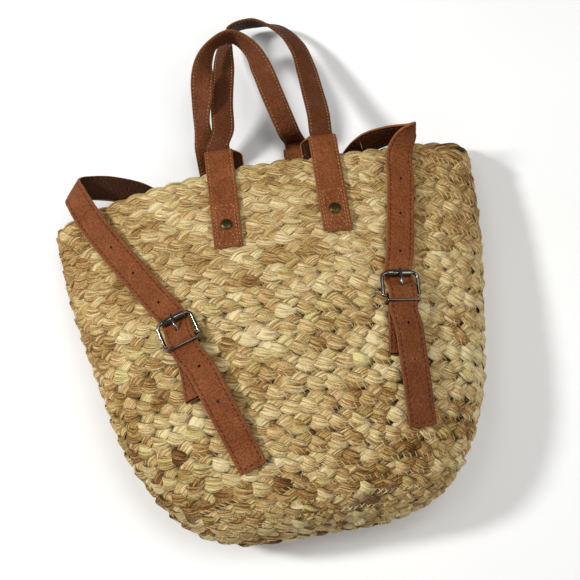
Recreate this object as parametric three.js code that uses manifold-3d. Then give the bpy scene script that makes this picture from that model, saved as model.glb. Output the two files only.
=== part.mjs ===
// Plaited bucket backpack with leather handles and shoulder straps, laid on its back.
// Millimetres. +X is to the right seen from above, +Y runs from the base to the mouth, +Z is up.
// The origin is on the floor, on the flat patch of the back wall that the bag rests on.

import * as THREE from "three";
import Module from "manifold-3d";
import { mergeVertices } from "three/addons/utils/BufferGeometryUtils.js";

const wasm = await Module();
wasm.setup();

// Plaited wall
const WALL = 7;
const CROWN_POWER = 2.4; // roundness of the front wall's section
const FLOOR_POWER = 3.6; // the back wall is boxier, because it lies flat
const FLOOR_SINK = 1.5; // how far the resting patch is pressed flat
const HITCH_START = 0.25; // share of the half width where a row starts to be pulled up
const HITCH_END = 0.9;
const BACK_BOW_SHARE = 1.1; // bow of the back rows against that of the front rows
const RING_POINTS = 48;
const RING_STEPS = 17;

// One row for each section of the basket, from the rim to the middle of the base.
// drop: distance below the rim along the wall; edgeY: place of the side folds; bow: rise of the row
// in its middle; crown and floor: heights of the front and back walls, where the floor presses a
// negative one flat; edge: height of the side folds; skew: how far the back wall is pushed askew;
// hitch: how far the right end of the row is pulled up.
const SECTIONS = [
  { drop: 0, edgeY: 161, halfWidth: 216, bow: 26, crown: 76, floor: 8, edge: 34, skew: 40, hitch: 12 },
  { drop: 45, edgeY: 117, halfWidth: 213, bow: 25, crown: 84, floor: 6, edge: 36, skew: 35, hitch: 9 },
  { drop: 90, edgeY: 73, halfWidth: 208, bow: 24, crown: 92, floor: 4, edge: 38, skew: 28, hitch: 6 },
  { drop: 130, edgeY: 33.5, halfWidth: 200, bow: 23, crown: 98.5, floor: 0.5, edge: 40, skew: 22, hitch: 3.5 },
  { drop: 180, edgeY: -16, halfWidth: 189, bow: 22, crown: 104, floor: -1.5, edge: 43, skew: 15, hitch: 1.5 },
  { drop: 240, edgeY: -74, halfWidth: 174, bow: 20, crown: 108, floor: 0, edge: 45, skew: 9, hitch: 0 },
  { drop: 290, edgeY: -119, halfWidth: 152, bow: 16, crown: 108, floor: 0, edge: 46, skew: 4, hitch: 0 },
  { drop: 330, edgeY: -148, halfWidth: 129, bow: 11, crown: 101, floor: 3, edge: 47, skew: 0, hitch: 0 },
  { drop: 360, edgeY: -165, halfWidth: 105, bow: 7, crown: 89, floor: 13, edge: 48, skew: 0, hitch: 0 },
  { drop: 390, edgeY: -175, halfWidth: 73, bow: 3, crown: 67, floor: 31, edge: 48, skew: 0, hitch: 0 },
  { drop: 410, edgeY: -178, halfWidth: 50, bow: 0, crown: 49, floor: 47, edge: 48, skew: 0, hitch: 0 },
];
const LAST_DROP = SECTIONS.at(-1).drop;
const FINE_STEPS = 90; // points that half a row is measured with
const HALVINGS = 40; // to find a place on the wall

// Leather
const GAP = 0.4;
const TAB_WIDTH = 28;
const TAB_THICK = 2.2;
const TAB_FRONT_LEG = 87.5; // outer leg below the rim
const TAB_INNER_LEG = 72;
const TAB_RISE = 20; // top of the fold above the rim
const TAB_ARC_STEPS = 8;
const TAB_LEG_STEPS = 4;
const HANDLE_WIDTH = 23;
const HANDLE_THICK = 3;
// Heights above the rim of the handle's straight end, which runs from inside the fold to above it.
const HANDLE_STRAIGHT = [4, TAB_RISE / 2, TAB_RISE + 1, TAB_RISE + 6];
const STRAP_WIDTH = 27;
const STRAP_THICK = 2.4;
const STRAP_HOLE_RADIUS = 1.2;
const STRAP_HOLE_SIDES = 8;
const RIBBON_STEP = 9;

// Rivets
const RIVET_DROP = 64.4; // below the rim
const RIVET_HEAD_RADIUS = 5.6;
const RIVET_HEAD_HEIGHT = 1.7;
const RIVET_SHANK_RADIUS = 1.6;
const RIVET_HOLE_RADIUS = 2.1;
const RIVET_HOLE_LENGTH = 6 * WALL;
const RIVET_SIDES = 12;
// Dome of a rivet head, as shares of its radius and height.
const RIVET_DOME = [
  { radius: 0, height: 1 },
  { radius: 0.55, height: 0.9 },
  { radius: 0.88, height: 0.6 },
  { radius: 1, height: 0 },
];

// Buckles
const BAR = 3.4; // wire of the frame
const BEVEL_SHARE = 0.23; // bevel of a wire's edges
const INNER_CORNER_SHARE = 0.8; // how much of the wire comes off the radius of an inner corner
const FRAME_INNER_WIDTH = 31;
const FRAME_LENGTH = 22; // from hinge bar to roller bar, axis to axis
const FRAME_CORNER = 6.5; // at the roller
const HINGE_CORNER = 3;
const FRAME_HEIGHT = 7.6; // axis of the bars above the wall
const ROLLER_BORE = 2.2;
const ROLLER_RADIUS = 3.4;
const ROLLER_LENGTH = 22.5;
const ROLLER_SIDES = 14;
const BUCKLE_TAB_WIDTH = 26;
const BUCKLE_TAB_THICK = 1.8;
const BUCKLE_TAB_LENGTH = 55;
const BUCKLE_TAB_FLAT = 14; // from the hinge bar to where the tab lies flat
const BUCKLE_TAB_NECK = 7; // from the hinge bar to where it starts to widen round the bar
const BUCKLE_TAB_LIFT = 0.6; // lower leaf at the end of its flat stretch
const BUCKLE_TAB_SPREAD = 1.4; // upper leaf there
const BUCKLE_TAB_PINCH = 0.4; // lower leaf at the neck
const BUCKLE_TAB_STEP = 2; // how much shorter the upper leaf is
const PRONG_WIDTH = 3.4;
const PRONG_HALF = 1.1; // half its thickness
const PRONG_EYE = 3.6; // outer radius of the eye on the hinge bar
const PRONG_SLOT_GAP = 0.45;
const KEEPER_WIRE = 2.2;
const KEEPER_INNER_WIDTH = 28.6;
const KEEPER_ALONG = -6; // from the hinge bar
const KEEPER_BOTTOM = 0.7;
const KEEPER_TOP = 16.8;
const KEEPER_CORNER = 3;
const CORNER_STEPS = 3;
const EYE_STEPS = 10;

// Where the handle tabs cross the rim (top), where their outer legs end, and how far the inner leg
// stands aside of the outer one.
const TABS = [
  { name: "front_left", front: true, topX: -40, endX: -44, lean: 9 },
  { name: "front_right", front: true, topX: 64, endX: 61, lean: -8 },
  { name: "back_left", front: false, topX: -52, endX: -52, lean: 0 },
  { name: "back_right", front: false, topX: 42, endX: 42, lean: 0 },
];

// Handles between their tabs. turn and tip: azimuth and elevation, in degrees, of the line across the
// strap from its left edge to its right edge.
const HANDLES = [
  {
    name: "handle_front",
    tabs: ["front_left", "front_right"],
    rows: [
      { x: -32, y: 225, z: 65, turn: 0, tip: 0 },
      { x: -28, y: 259, z: 54, turn: -4, tip: 4 },
      { x: -20.5, y: 300, z: 43, turn: -10, tip: 10 },
      { x: -15, y: 331, z: 32, turn: -26, tip: 40 },
      { x: -8, y: 352, z: 28, turn: -58, tip: 86 },
      { x: 18, y: 359, z: 25, turn: -88, tip: 85 },
      { x: 46, y: 347, z: 25, turn: -115, tip: 46 },
      { x: 61, y: 321, z: 30, turn: -140, tip: 26 },
      { x: 65, y: 290, z: 40, turn: -160, tip: 13 },
      { x: 66, y: 258, z: 52, turn: -172, tip: 6 },
      { x: 66, y: 228, z: 65, turn: 180, tip: 0 },
    ],
  },
  {
    name: "handle_back",
    tabs: ["back_left", "back_right"],
    rows: [
      { x: -52, y: 217, z: 27, turn: 0, tip: 0 },
      { x: -51.5, y: 242, z: 51, turn: -3, tip: 44 },
      { x: -46.5, y: 266, z: 64, turn: -5, tip: 18 },
      { x: -43, y: 287, z: 66, turn: -12, tip: -14 },
      { x: -37, y: 308, z: 63, turn: -30, tip: -56 },
      { x: -24, y: 326, z: 59, turn: -58, tip: -86 },
      { x: -6, y: 331, z: 56, turn: -88, tip: -80 },
      { x: 9, y: 318, z: 53, turn: -130, tip: -60 },
      { x: 18, y: 293, z: 54, turn: -156, tip: -22 },
      { x: 24.5, y: 262, z: 55, turn: -166, tip: -5 },
      { x: 31, y: 238, z: 47, turn: -170, tip: 0 },
      { x: 36, y: 224, z: 36, turn: -174, tip: 0 },
    ],
  },
];

// Shoulder straps. below and above are stretches on the front wall, with the gap under the strap.
// over is the free stretch past the rim, and anchor the hidden end, which is sewn inside the back wall.
const STRAPS = [
  {
    side: "left",
    hinge: { x: -98.5, y: 17.8, turn: 15, tabShift: -9 },
    below: [
      { x: -53.6, y: -106.8, gap: 0.5 },
      { x: -74.6, y: -44.1, gap: 5.4, hole: true },
      { x: -86.5, y: -9.7, gap: 5.6, hole: true },
    ],
    above: [
      { x: -116, y: 57.7, gap: 0.8, hole: true },
      { x: -136.4, y: 91.3, gap: 0.7, hole: true },
      { x: -154.5, y: 121.9, gap: 0.8, hole: true },
    ],
    over: [
      { x: -173, y: 154, z: 70, turn: 32, tip: 14 },
      { x: -184, y: 180, z: 68, turn: 45, tip: 8 },
      { x: -188, y: 194, z: 57, turn: 54, tip: 0 },
      { x: -174, y: 197, z: 46, turn: 68, tip: -4 },
      { x: -150, y: 193, z: 42, turn: 78, tip: -4 },
      { x: -122, y: 182, z: 35, turn: 66, tip: -2 },
      { x: -102, y: 163, z: 25, turn: 45, tip: 0 },
    ],
    anchor: [
      { x: -91, y: 139, turn: 28 },
      { x: -86, y: 125, turn: 22 },
    ],
  },
  {
    side: "right",
    hinge: { x: 104.7, y: 24.2, turn: -6, tabShift: -3 },
    below: [
      { x: 100.9, y: -96.2, gap: 0.5 },
      { x: 103.3, y: -36.3, gap: 5.4, hole: true },
      { x: 105, y: -2.4, gap: 5.6, hole: true },
    ],
    above: [
      { x: 113.8, y: 67.8, gap: 0.8, hole: true },
      { x: 122.7, y: 105.8, gap: 0.7, hole: true },
      { x: 130.9, y: 141.9, gap: 0.8, hole: true },
    ],
    over: [
      { x: 136, y: 170, z: 78, turn: -14, tip: -14 },
      { x: 145, y: 183, z: 82, turn: -28, tip: -44 },
      { x: 155, y: 190, z: 82, turn: -60, tip: -78 },
      { x: 149, y: 190, z: 77, turn: -90, tip: -74 },
      { x: 128, y: 193, z: 67, turn: -84, tip: -64 },
      { x: 104, y: 191, z: 52, turn: -72, tip: -50 },
      { x: 86, y: 172, z: 33, turn: -48, tip: -20 },
    ],
    anchor: [
      { x: 80, y: 146, turn: -22 },
      { x: 76, y: 132, turn: -16 },
    ],
  },
];

// The strap through its buckle: along the strap from the hinge bar, and height of its middle above the wall.
const THROUGH_BUCKLE = [
  { along: -14, height: 9.9 },
  { along: -5, height: 13 },
  { along: 1, height: 13.8 },
  { along: 6, height: 12.1 },
  { along: 14, height: 5.9 },
  { along: 22, height: 2.2 },
];

// Middle line of the prong from its eye to its tip, seen from the side.
const PRONG_LINE = [
  { along: 2.6, height: 7.7 },
  { along: 4.8, height: 8.2 },
  { along: 11, height: 12.9 },
  { along: 22, height: 12.6 },
  { along: 26.6, height: 11.2 },
];

// Materials
const JUTE = new THREE.MeshStandardMaterial({ color: 0xc2a678, roughness: 0.9, metalness: 0 });
const LEATHER = new THREE.MeshStandardMaterial({ color: 0x7a452e, roughness: 0.55, metalness: 0 });
const BRASS = new THREE.MeshStandardMaterial({ color: 0x6e6243, roughness: 0.4, metalness: 0.9 });
const GUNMETAL = new THREE.MeshStandardMaterial({ color: 0x2b2a2c, roughness: 0.25, metalness: 0.9 });

const bag = new THREE.Group();

function addPiece(name, geometry, material, parent = bag) {
  const mesh = new THREE.Mesh(geometry, material);
  mesh.name = name;
  parent.add(mesh);
  return mesh;
}

// Closed meshes and booleans

function geometryFrom(points, triangles) {
  const geometry = new THREE.BufferGeometry();
  const positions = points.flatMap((point) => [point.x, point.y, point.z]);
  geometry.setAttribute("position", new THREE.Float32BufferAttribute(positions, 3));
  geometry.setIndex(triangles.flat());
  geometry.computeVertexNormals();
  return geometry;
}

function solidFrom(geometry) {
  const bare = geometry.clone();
  bare.deleteAttribute("normal");
  bare.deleteAttribute("uv");
  const merged = mergeVertices(bare, 1e-4);
  const vertProperties = new Float32Array(merged.attributes.position.array);
  const triVerts = new Uint32Array(merged.index.array);
  return new wasm.Manifold(new wasm.Mesh({ numProp: 3, vertProperties, triVerts }));
}

function geometryOf(solid) {
  const mesh = solid.getMesh();
  const geometry = new THREE.BufferGeometry();
  geometry.setAttribute("position", new THREE.BufferAttribute(mesh.vertProperties, 3));
  geometry.setIndex(new THREE.BufferAttribute(mesh.triVerts, 1));
  geometry.computeVertexNormals();
  return geometry;
}

function cut(geometry, tools) {
  let solid = solidFrom(geometry);
  for (const tool of tools) {
    solid = solid.subtract(solidFrom(tool));
  }
  return geometryOf(solid);
}

// A sheet of even thickness about a grid of points. grid[i][j]: i along the sheet, j from left to right.
function sheet(grid, thickness) {
  const rows = grid.length - 1;
  const columns = grid[0].length - 1;
  const top = [];
  const bottom = [];
  for (let i = 0; i <= rows; i++) {
    for (let j = 0; j <= columns; j++) {
      const along = grid[Math.min(i + 1, rows)][j].clone().sub(grid[Math.max(i - 1, 0)][j]);
      const across = grid[i][Math.min(j + 1, columns)].clone().sub(grid[i][Math.max(j - 1, 0)]);
      const normal = across.cross(along).normalize();
      top.push(grid[i][j].clone().addScaledVector(normal, thickness / 2));
      bottom.push(grid[i][j].clone().addScaledVector(normal, -thickness / 2));
    }
  }
  const under = top.length;
  const at = (i, j) => i * (columns + 1) + j;
  const triangles = [];
  const border = [];
  for (let i = 0; i < rows; i++) {
    for (let j = 0; j < columns; j++) {
      const corners = [at(i, j), at(i, j + 1), at(i + 1, j + 1), at(i + 1, j)];
      const [a, b, c, d] = corners;
      triangles.push([a, b, c], [a, c, d]);
      triangles.push([a + under, c + under, b + under], [a + under, d + under, c + under]);
    }
  }
  for (let j = 0; j < columns; j++) border.push([at(0, j), at(0, j + 1)]);
  for (let i = 0; i < rows; i++) border.push([at(i, columns), at(i + 1, columns)]);
  for (let j = columns; j > 0; j--) border.push([at(rows, j), at(rows, j - 1)]);
  for (let i = rows; i > 0; i--) border.push([at(i, 0), at(i - 1, 0)]);
  for (const [a, b] of border) {
    triangles.push([a + under, b + under, b], [a + under, b, a]);
  }
  return geometryFrom([...top, ...bottom], triangles);
}

// A flat strap along rows of { centre, across }, where across points from its left to its right edge.
function ribbon(rows, width, thickness) {
  const centres = new THREE.CatmullRomCurve3(rows.map((row) => row.centre));
  const sides = new THREE.CatmullRomCurve3(rows.map((row) => row.across));
  const steps = Math.ceil(centres.getLength() / RIBBON_STEP);
  const grid = [];
  for (let i = 0; i <= steps; i++) {
    const t = centres.getUtoTmapping(i / steps);
    const centre = centres.getPoint(t);
    const across = sides.getPoint(t).normalize().multiplyScalar(width / 2);
    grid.push([-1, 0, 1].map((share) => centre.clone().addScaledVector(across, share)));
  }
  return sheet(grid, thickness);
}

function direction(turn, tip) {
  const azimuth = THREE.MathUtils.degToRad(turn);
  const elevation = THREE.MathUtils.degToRad(tip);
  const level = Math.cos(elevation);
  return new THREE.Vector3(level * Math.cos(azimuth), level * Math.sin(azimuth), Math.sin(elevation));
}

function freeRow({ x, y, z, turn, tip }) {
  return { centre: new THREE.Vector3(x, y, z), across: direction(turn, tip) };
}

// The basket's surface

// A column of the section table at any drop, by a cubic through the rows.
function column(name, drop) {
  const last = SECTIONS.length - 1;
  const found = SECTIONS.findLastIndex((row) => row.drop <= drop);
  const i = THREE.MathUtils.clamp(found, 0, last - 1);
  const slope = (k) => {
    const before = SECTIONS[Math.max(k - 1, 0)];
    const after = SECTIONS[Math.min(k + 1, last)];
    return (after[name] - before[name]) / (after.drop - before.drop);
  };
  const span = SECTIONS[i + 1].drop - SECTIONS[i].drop;
  const u = (drop - SECTIONS[i].drop) / span;
  const start = SECTIONS[i][name];
  const end = SECTIONS[i + 1][name];
  if (u < 0) return start + slope(i) * span * u;
  return (
    (2 * u ** 3 - 3 * u ** 2 + 1) * start +
    (u ** 3 - 2 * u ** 2 + u) * span * slope(i) +
    (3 * u ** 2 - 2 * u ** 3) * end +
    (u ** 3 - u ** 2) * span * slope(i + 1)
  );
}

// A point of the outer surface on the front or back wall at x.
function wallPoint(drop, x, front) {
  const share = THREE.MathUtils.clamp(x / column("halfWidth", drop), -1, 1);
  const power = front ? CROWN_POWER : FLOOR_POWER;
  const lift = (1 - Math.abs(share) ** power) ** (1 / power);
  const rise = column("bow", drop) * (1 - share * share);
  const y = column("edgeY", drop);
  const edge = column("edge", drop);
  const hitch = column("hitch", drop) * THREE.MathUtils.smoothstep(share, HITCH_START, HITCH_END);
  if (front) return new THREE.Vector3(x, y + rise + hitch, edge + (column("crown", drop) - edge) * lift);
  const floor = Math.max(0, column("floor", drop));
  const low = Math.max(floor, edge - (edge - floor + FLOOR_SINK) * lift);
  const askew = column("skew", drop) * lift * share + hitch * (1 - lift);
  return new THREE.Vector3(x, y + rise * BACK_BOW_SHARE + askew, low);
}

// The wall's point and outward normal at a place given by x and drop, or by x and y.
function wallAtDrop(drop, x, front) {
  const step = 1;
  const point = wallPoint(drop, x, front);
  const across = wallPoint(drop, x + step, front).sub(wallPoint(drop, x - step, front));
  const up = wallPoint(drop - step, x, front).sub(wallPoint(drop + step, x, front));
  const normal = across.cross(up).normalize();
  return { point, normal: front ? normal : normal.negate() };
}

function wallAt(x, y, front) {
  let low = 0;
  let high = LAST_DROP;
  for (let i = 0; i < HALVINGS; i++) {
    const middle = (low + high) / 2;
    if (wallPoint(middle, x, front).y > y) low = middle;
    else high = middle;
  }
  return wallAtDrop(low, x, front);
}

// Half a row of the basket, from one side fold to the other, as evenly spaced points.
function halfRing(drop, front) {
  const halfWidth = column("halfWidth", drop);
  const power = front ? CROWN_POWER : FLOOR_POWER;
  const points = [];
  for (let i = 0; i <= FINE_STEPS; i++) {
    const cosine = Math.cos((Math.PI * i) / FINE_STEPS);
    const x = halfWidth * Math.sign(cosine) * Math.abs(cosine) ** (2 / power);
    points.push(wallPoint(drop, front ? x : -x, front));
  }
  const count = RING_POINTS / 2;
  return new THREE.CatmullRomCurve3(points).getSpacedPoints(count).slice(0, count);
}

function basketGeometry() {
  const outer = [];
  for (let k = 0; k <= RING_STEPS; k++) {
    const drop = (LAST_DROP * k) / RING_STEPS;
    outer.push([...halfRing(drop, true), ...halfRing(drop, false)]);
  }
  const inner = outer.map((ring, k) =>
    ring.map((point, j) => {
      const round = ring[(j + 1) % RING_POINTS].clone().sub(ring[(j + RING_POINTS - 1) % RING_POINTS]);
      const below = outer[Math.min(k + 1, RING_STEPS)][j];
      const above = outer[Math.max(k - 1, 0)][j];
      const normal = round.cross(below.clone().sub(above)).normalize();
      return point.clone().addScaledVector(normal, -WALL);
    }),
  );
  const points = [...outer.flat(), ...inner.flat()];
  const inside = outer.length * RING_POINTS;
  const at = (k, j) => k * RING_POINTS + (j % RING_POINTS);
  const triangles = [];
  for (let j = 0; j < RING_POINTS; j++) {
    for (let k = 0; k < RING_STEPS; k++) {
      const [a, b, c, d] = [at(k, j), at(k, j + 1), at(k + 1, j + 1), at(k + 1, j)];
      triangles.push([a, b, c], [a, c, d]);
      triangles.push([a + inside, c + inside, b + inside], [a + inside, d + inside, c + inside]);
    }
    const [rim, next] = [at(0, j), at(0, j + 1)];
    triangles.push([rim + inside, next + inside, next], [rim + inside, next, rim]);
  }
  const middleOf = (ring) => {
    const middle = new THREE.Vector3();
    for (const point of ring) middle.addScaledVector(point, 1 / RING_POINTS);
    return middle;
  };
  const outerMiddle = points.push(middleOf(outer.at(-1))) - 1;
  const innerMiddle = points.push(middleOf(inner.at(-1))) - 1;
  for (let j = 0; j < RING_POINTS; j++) {
    const [a, b] = [at(RING_STEPS, j), at(RING_STEPS, j + 1)];
    triangles.push([outerMiddle, a, b], [innerMiddle, b + inside, a + inside]);
  }
  return geometryFrom(points, triangles);
}

// Handle tabs, handles and rivets

// The frame of a tab: its place on the rim, up along the wall, out of the wall and across the tab.
function tabFrame({ front, topX, endX }) {
  const rim = wallAtDrop(0, topX, front);
  const end = wallAtDrop(TAB_FRONT_LEG, endX, front);
  const up = rim.point.clone().sub(end.point).normalize();
  const out = rim.normal.clone().add(end.normal).normalize();
  out.addScaledVector(up, -out.dot(up)).normalize();
  const across = up.clone().cross(out);
  return { front, origin: rim.point, up, out, across };
}

function tabPoint(frame, up, out, across = 0) {
  return frame.origin
    .clone()
    .addScaledVector(frame.up, up)
    .addScaledVector(frame.out, out)
    .addScaledVector(frame.across, across);
}

// A strip folded over the rim: outer leg, half round fold, inner leg, which leans aside below the fold.
function tabGrid(frame, lean) {
  const radius = WALL / 2 + GAP + TAB_THICK / 2;
  const spring = TAB_RISE - radius - TAB_THICK / 2;
  const middle = -WALL / 2;
  const profile = [];
  for (let i = 0; i < TAB_LEG_STEPS; i++) {
    const up = THREE.MathUtils.lerp(-TAB_FRONT_LEG, spring, i / TAB_LEG_STEPS);
    profile.push({ up, out: middle + radius, aside: 0 });
  }
  for (let i = 0; i <= TAB_ARC_STEPS; i++) {
    const angle = (Math.PI * i) / TAB_ARC_STEPS;
    const aside = lean * Math.max(0, -Math.cos(angle));
    profile.push({ up: spring + radius * Math.sin(angle), out: middle + radius * Math.cos(angle), aside });
  }
  for (let i = 1; i <= TAB_LEG_STEPS; i++) {
    const up = THREE.MathUtils.lerp(spring, -TAB_INNER_LEG, i / TAB_LEG_STEPS);
    profile.push({ up, out: middle - radius, aside: lean });
  }
  const halves = [TAB_WIDTH / 2, 0, -TAB_WIDTH / 2];
  return profile.map(({ up, out, aside }) => halves.map((half) => tabPoint(frame, up, out, half + aside)));
}

function frameQuaternion(x, y, z) {
  return new THREE.Quaternion().setFromRotationMatrix(new THREE.Matrix4().makeBasis(x, y, z));
}

// The slot in the fold that the handle end passes through.
function handleSlot(frame) {
  const box = new THREE.BoxGeometry(HANDLE_WIDTH + 2 * GAP, TAB_RISE, HANDLE_THICK + 2 * GAP);
  box.applyQuaternion(frameQuaternion(frame.across, frame.up, frame.out));
  const centre = tabPoint(frame, TAB_RISE, -WALL / 2);
  return box.translate(centre.x, centre.y, centre.z);
}

function rivetHole(frame) {
  const sizes = [RIVET_HOLE_RADIUS, RIVET_HOLE_RADIUS, RIVET_HOLE_LENGTH, RIVET_SIDES];
  const hole = new THREE.CylinderGeometry(...sizes);
  hole.applyQuaternion(frameQuaternion(frame.across.clone().negate(), frame.out, frame.up));
  const centre = tabPoint(frame, -RIVET_DROP, -WALL / 2);
  return hole.translate(centre.x, centre.y, centre.z);
}

// Two domed heads on one shank, turned about Y.
function rivetGeometry() {
  const seat = WALL / 2 + GAP + TAB_THICK + GAP;
  const dome = RIVET_DOME.map(({ radius, height }) => ({
    radius: radius * RIVET_HEAD_RADIUS,
    height: seat + height * RIVET_HEAD_HEIGHT,
  }));
  const profile = [...dome, { radius: RIVET_SHANK_RADIUS, height: seat }];
  const mirrored = profile.toReversed().map(({ radius, height }) => ({ radius, height: -height }));
  const outline = [...profile, ...mirrored].reverse();
  const points = outline.map(({ radius, height }) => new THREE.Vector2(radius, height));
  return new THREE.LatheGeometry(points, RIVET_SIDES);
}

// The handle's end rows inside a tab, from its end to above the fold.
function handleEnd(frame, flip) {
  const across = flip ? frame.across.clone() : frame.across.clone().negate();
  return HANDLE_STRAIGHT.map((up) => ({
    centre: tabPoint(frame, up, -WALL / 2),
    across,
  }));
}

const tabFrames = new Map(TABS.map((tab) => [tab.name, tabFrame(tab)]));
const basketCuts = [];

for (const { name, lean } of TABS) {
  const frame = tabFrames.get(name);
  const tab = cut(sheet(tabGrid(frame, lean), TAB_THICK), [handleSlot(frame), rivetHole(frame)]);
  addPiece(`handle_tab_${name}`, tab, LEATHER);
  const rivet = addPiece(`handle_rivet_${name}`, rivetGeometry(), BRASS);
  rivet.position.copy(tabPoint(frame, -RIVET_DROP, -WALL / 2));
  rivet.quaternion.copy(frameQuaternion(frame.across.clone().negate(), frame.out, frame.up));
  basketCuts.push(rivetHole(frame));
}

for (const { name, tabs, rows } of HANDLES) {
  const [first, last] = tabs.map((tab) => tabFrames.get(tab));
  const path = [
    ...handleEnd(first, first.front),
    ...rows.map(freeRow),
    ...handleEnd(last, !last.front).reverse(),
  ];
  addPiece(name, ribbon(path, HANDLE_WIDTH, HANDLE_THICK), LEATHER);
}

addPiece("basket", cut(basketGeometry(), basketCuts), JUTE);

// Buckles

function roundedRectangle(path, half, low, high, lowCorner, highCorner) {
  path.moveTo(-half + lowCorner, low);
  path.lineTo(half - lowCorner, low);
  path.absarc(half - lowCorner, low + lowCorner, lowCorner, -Math.PI / 2, 0);
  path.lineTo(half, high - highCorner);
  path.absarc(half - highCorner, high - highCorner, highCorner, 0, Math.PI / 2);
  path.lineTo(-half + highCorner, high);
  path.absarc(-half + highCorner, high - highCorner, highCorner, Math.PI / 2, Math.PI);
  path.lineTo(-half, low + lowCorner);
  path.absarc(-half + lowCorner, low + lowCorner, lowCorner, Math.PI, 1.5 * Math.PI);
  return path;
}

// A flat loop of bevelled wire in the XY plane, centred on z = 0.
function wireLoop(half, low, high, lowCorner, highCorner, wire) {
  const shape = roundedRectangle(new THREE.Shape(), half, low, high, lowCorner, highCorner);
  const inset = [half - wire, low + wire, high - wire];
  const insetCorners = [lowCorner, highCorner].map((corner) => corner - wire * INNER_CORNER_SHARE);
  shape.holes.push(roundedRectangle(new THREE.Path(), ...inset, ...insetCorners));
  const bevel = wire * BEVEL_SHARE;
  const loop = new THREE.ExtrudeGeometry(shape, {
    depth: wire - 2 * bevel,
    bevelThickness: bevel,
    bevelSize: bevel,
    bevelOffset: -bevel,
    bevelSegments: 1,
    curveSegments: CORNER_STEPS,
  });
  return loop.translate(0, 0, bevel - wire / 2);
}

function rollerGeometry() {
  const half = ROLLER_LENGTH / 2;
  const profile = [
    new THREE.Vector2(ROLLER_BORE, -half),
    new THREE.Vector2(ROLLER_RADIUS, -half),
    new THREE.Vector2(ROLLER_RADIUS, half),
    new THREE.Vector2(ROLLER_BORE, half),
    new THREE.Vector2(ROLLER_BORE, -half),
  ];
  const roller = new THREE.LatheGeometry(profile, ROLLER_SIDES);
  return roller.rotateZ(Math.PI / 2).translate(0, FRAME_LENGTH, FRAME_HEIGHT);
}

// The prong's tongue seen from the side, thickened about its middle line.
function tongueOutline(half) {
  const line = PRONG_LINE.map(({ along, height }) => new THREE.Vector2(along, height));
  const sideOf = (sign) =>
    line.map((point, i) => {
      const ahead = line[Math.min(i + 1, line.length - 1)].clone().sub(line[Math.max(i - 1, 0)]).normalize();
      return point.clone().add(new THREE.Vector2(-ahead.y, ahead.x).multiplyScalar(sign * half));
    });
  return [...sideOf(-1), ...sideOf(1).reverse()];
}

// Turns an extrusion of a side view (along, height) so that along is Y, height is Z and depth is X.
function standSideways(geometry, depth) {
  geometry.translate(0, 0, -depth / 2);
  const turn = new THREE.Matrix4().makeBasis(
    new THREE.Vector3(0, 1, 0),
    new THREE.Vector3(0, 0, 1),
    new THREE.Vector3(1, 0, 0),
  );
  return geometry.applyMatrix4(turn);
}

function prongGeometry() {
  const eye = new THREE.Shape().absarc(0, FRAME_HEIGHT, PRONG_EYE, 0, 2 * Math.PI);
  eye.holes.push(new THREE.Path().absarc(0, FRAME_HEIGHT, ROLLER_BORE, 0, 2 * Math.PI));
  const options = { depth: PRONG_WIDTH, bevelEnabled: false, curveSegments: EYE_STEPS };
  const shapes = [eye, new THREE.Shape(tongueOutline(PRONG_HALF))];
  const [ring, tongue] = shapes.map((shape) =>
    solidFrom(standSideways(new THREE.ExtrudeGeometry(shape, options), PRONG_WIDTH)),
  );
  return geometryOf(ring.add(tongue));
}

// The hole that the prong makes in the strap, in the buckle's own frame.
function prongSlot() {
  const depth = PRONG_WIDTH + 2 * PRONG_SLOT_GAP;
  const shape = new THREE.Shape(tongueOutline(PRONG_HALF + PRONG_SLOT_GAP));
  return standSideways(new THREE.ExtrudeGeometry(shape, { depth, bevelEnabled: false }), depth);
}

// The buckle tab: a strip on the wall, round the hinge bar and back over itself.
function buckleTabGeometry(shift) {
  const radius = ROLLER_BORE + BUCKLE_TAB_THICK / 2;
  const flat = 2 * GAP + BUCKLE_TAB_THICK / 2;
  const upper = flat + BUCKLE_TAB_THICK + GAP;
  const profile = [
    { along: -BUCKLE_TAB_LENGTH, height: flat },
    { along: -BUCKLE_TAB_LENGTH / 2, height: flat },
    { along: -BUCKLE_TAB_FLAT, height: flat + BUCKLE_TAB_LIFT },
    { along: -BUCKLE_TAB_NECK, height: FRAME_HEIGHT - radius - BUCKLE_TAB_PINCH },
  ];
  for (let i = 0; i <= TAB_ARC_STEPS; i++) {
    const angle = (Math.PI * i) / TAB_ARC_STEPS;
    profile.push({ along: radius * Math.sin(angle), height: FRAME_HEIGHT - radius * Math.cos(angle) });
  }
  profile.push(
    { along: -BUCKLE_TAB_NECK, height: FRAME_HEIGHT + radius - BUCKLE_TAB_SPREAD },
    { along: -BUCKLE_TAB_FLAT, height: upper + BUCKLE_TAB_SPREAD },
    { along: -BUCKLE_TAB_LENGTH / 2, height: upper },
    { along: -BUCKLE_TAB_LENGTH + BUCKLE_TAB_STEP, height: upper },
  );
  const halves = [1, 0, -1].map((share) => (share * BUCKLE_TAB_WIDTH) / 2);
  const grid = profile.map(({ along, height }) => {
    const sideways = along < 0 ? shift * (along / BUCKLE_TAB_LENGTH) ** 2 : 0;
    return halves.map((half) => new THREE.Vector3(half + sideways, along, height));
  });
  const slotWidth = PRONG_WIDTH + 2 * PRONG_SLOT_GAP;
  const slot = new THREE.BoxGeometry(slotWidth, 3 * PRONG_EYE, 3 * PRONG_EYE);
  return cut(sheet(grid, BUCKLE_TAB_THICK), [slot.translate(0, PRONG_EYE / 2, FRAME_HEIGHT)]);
}

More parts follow.
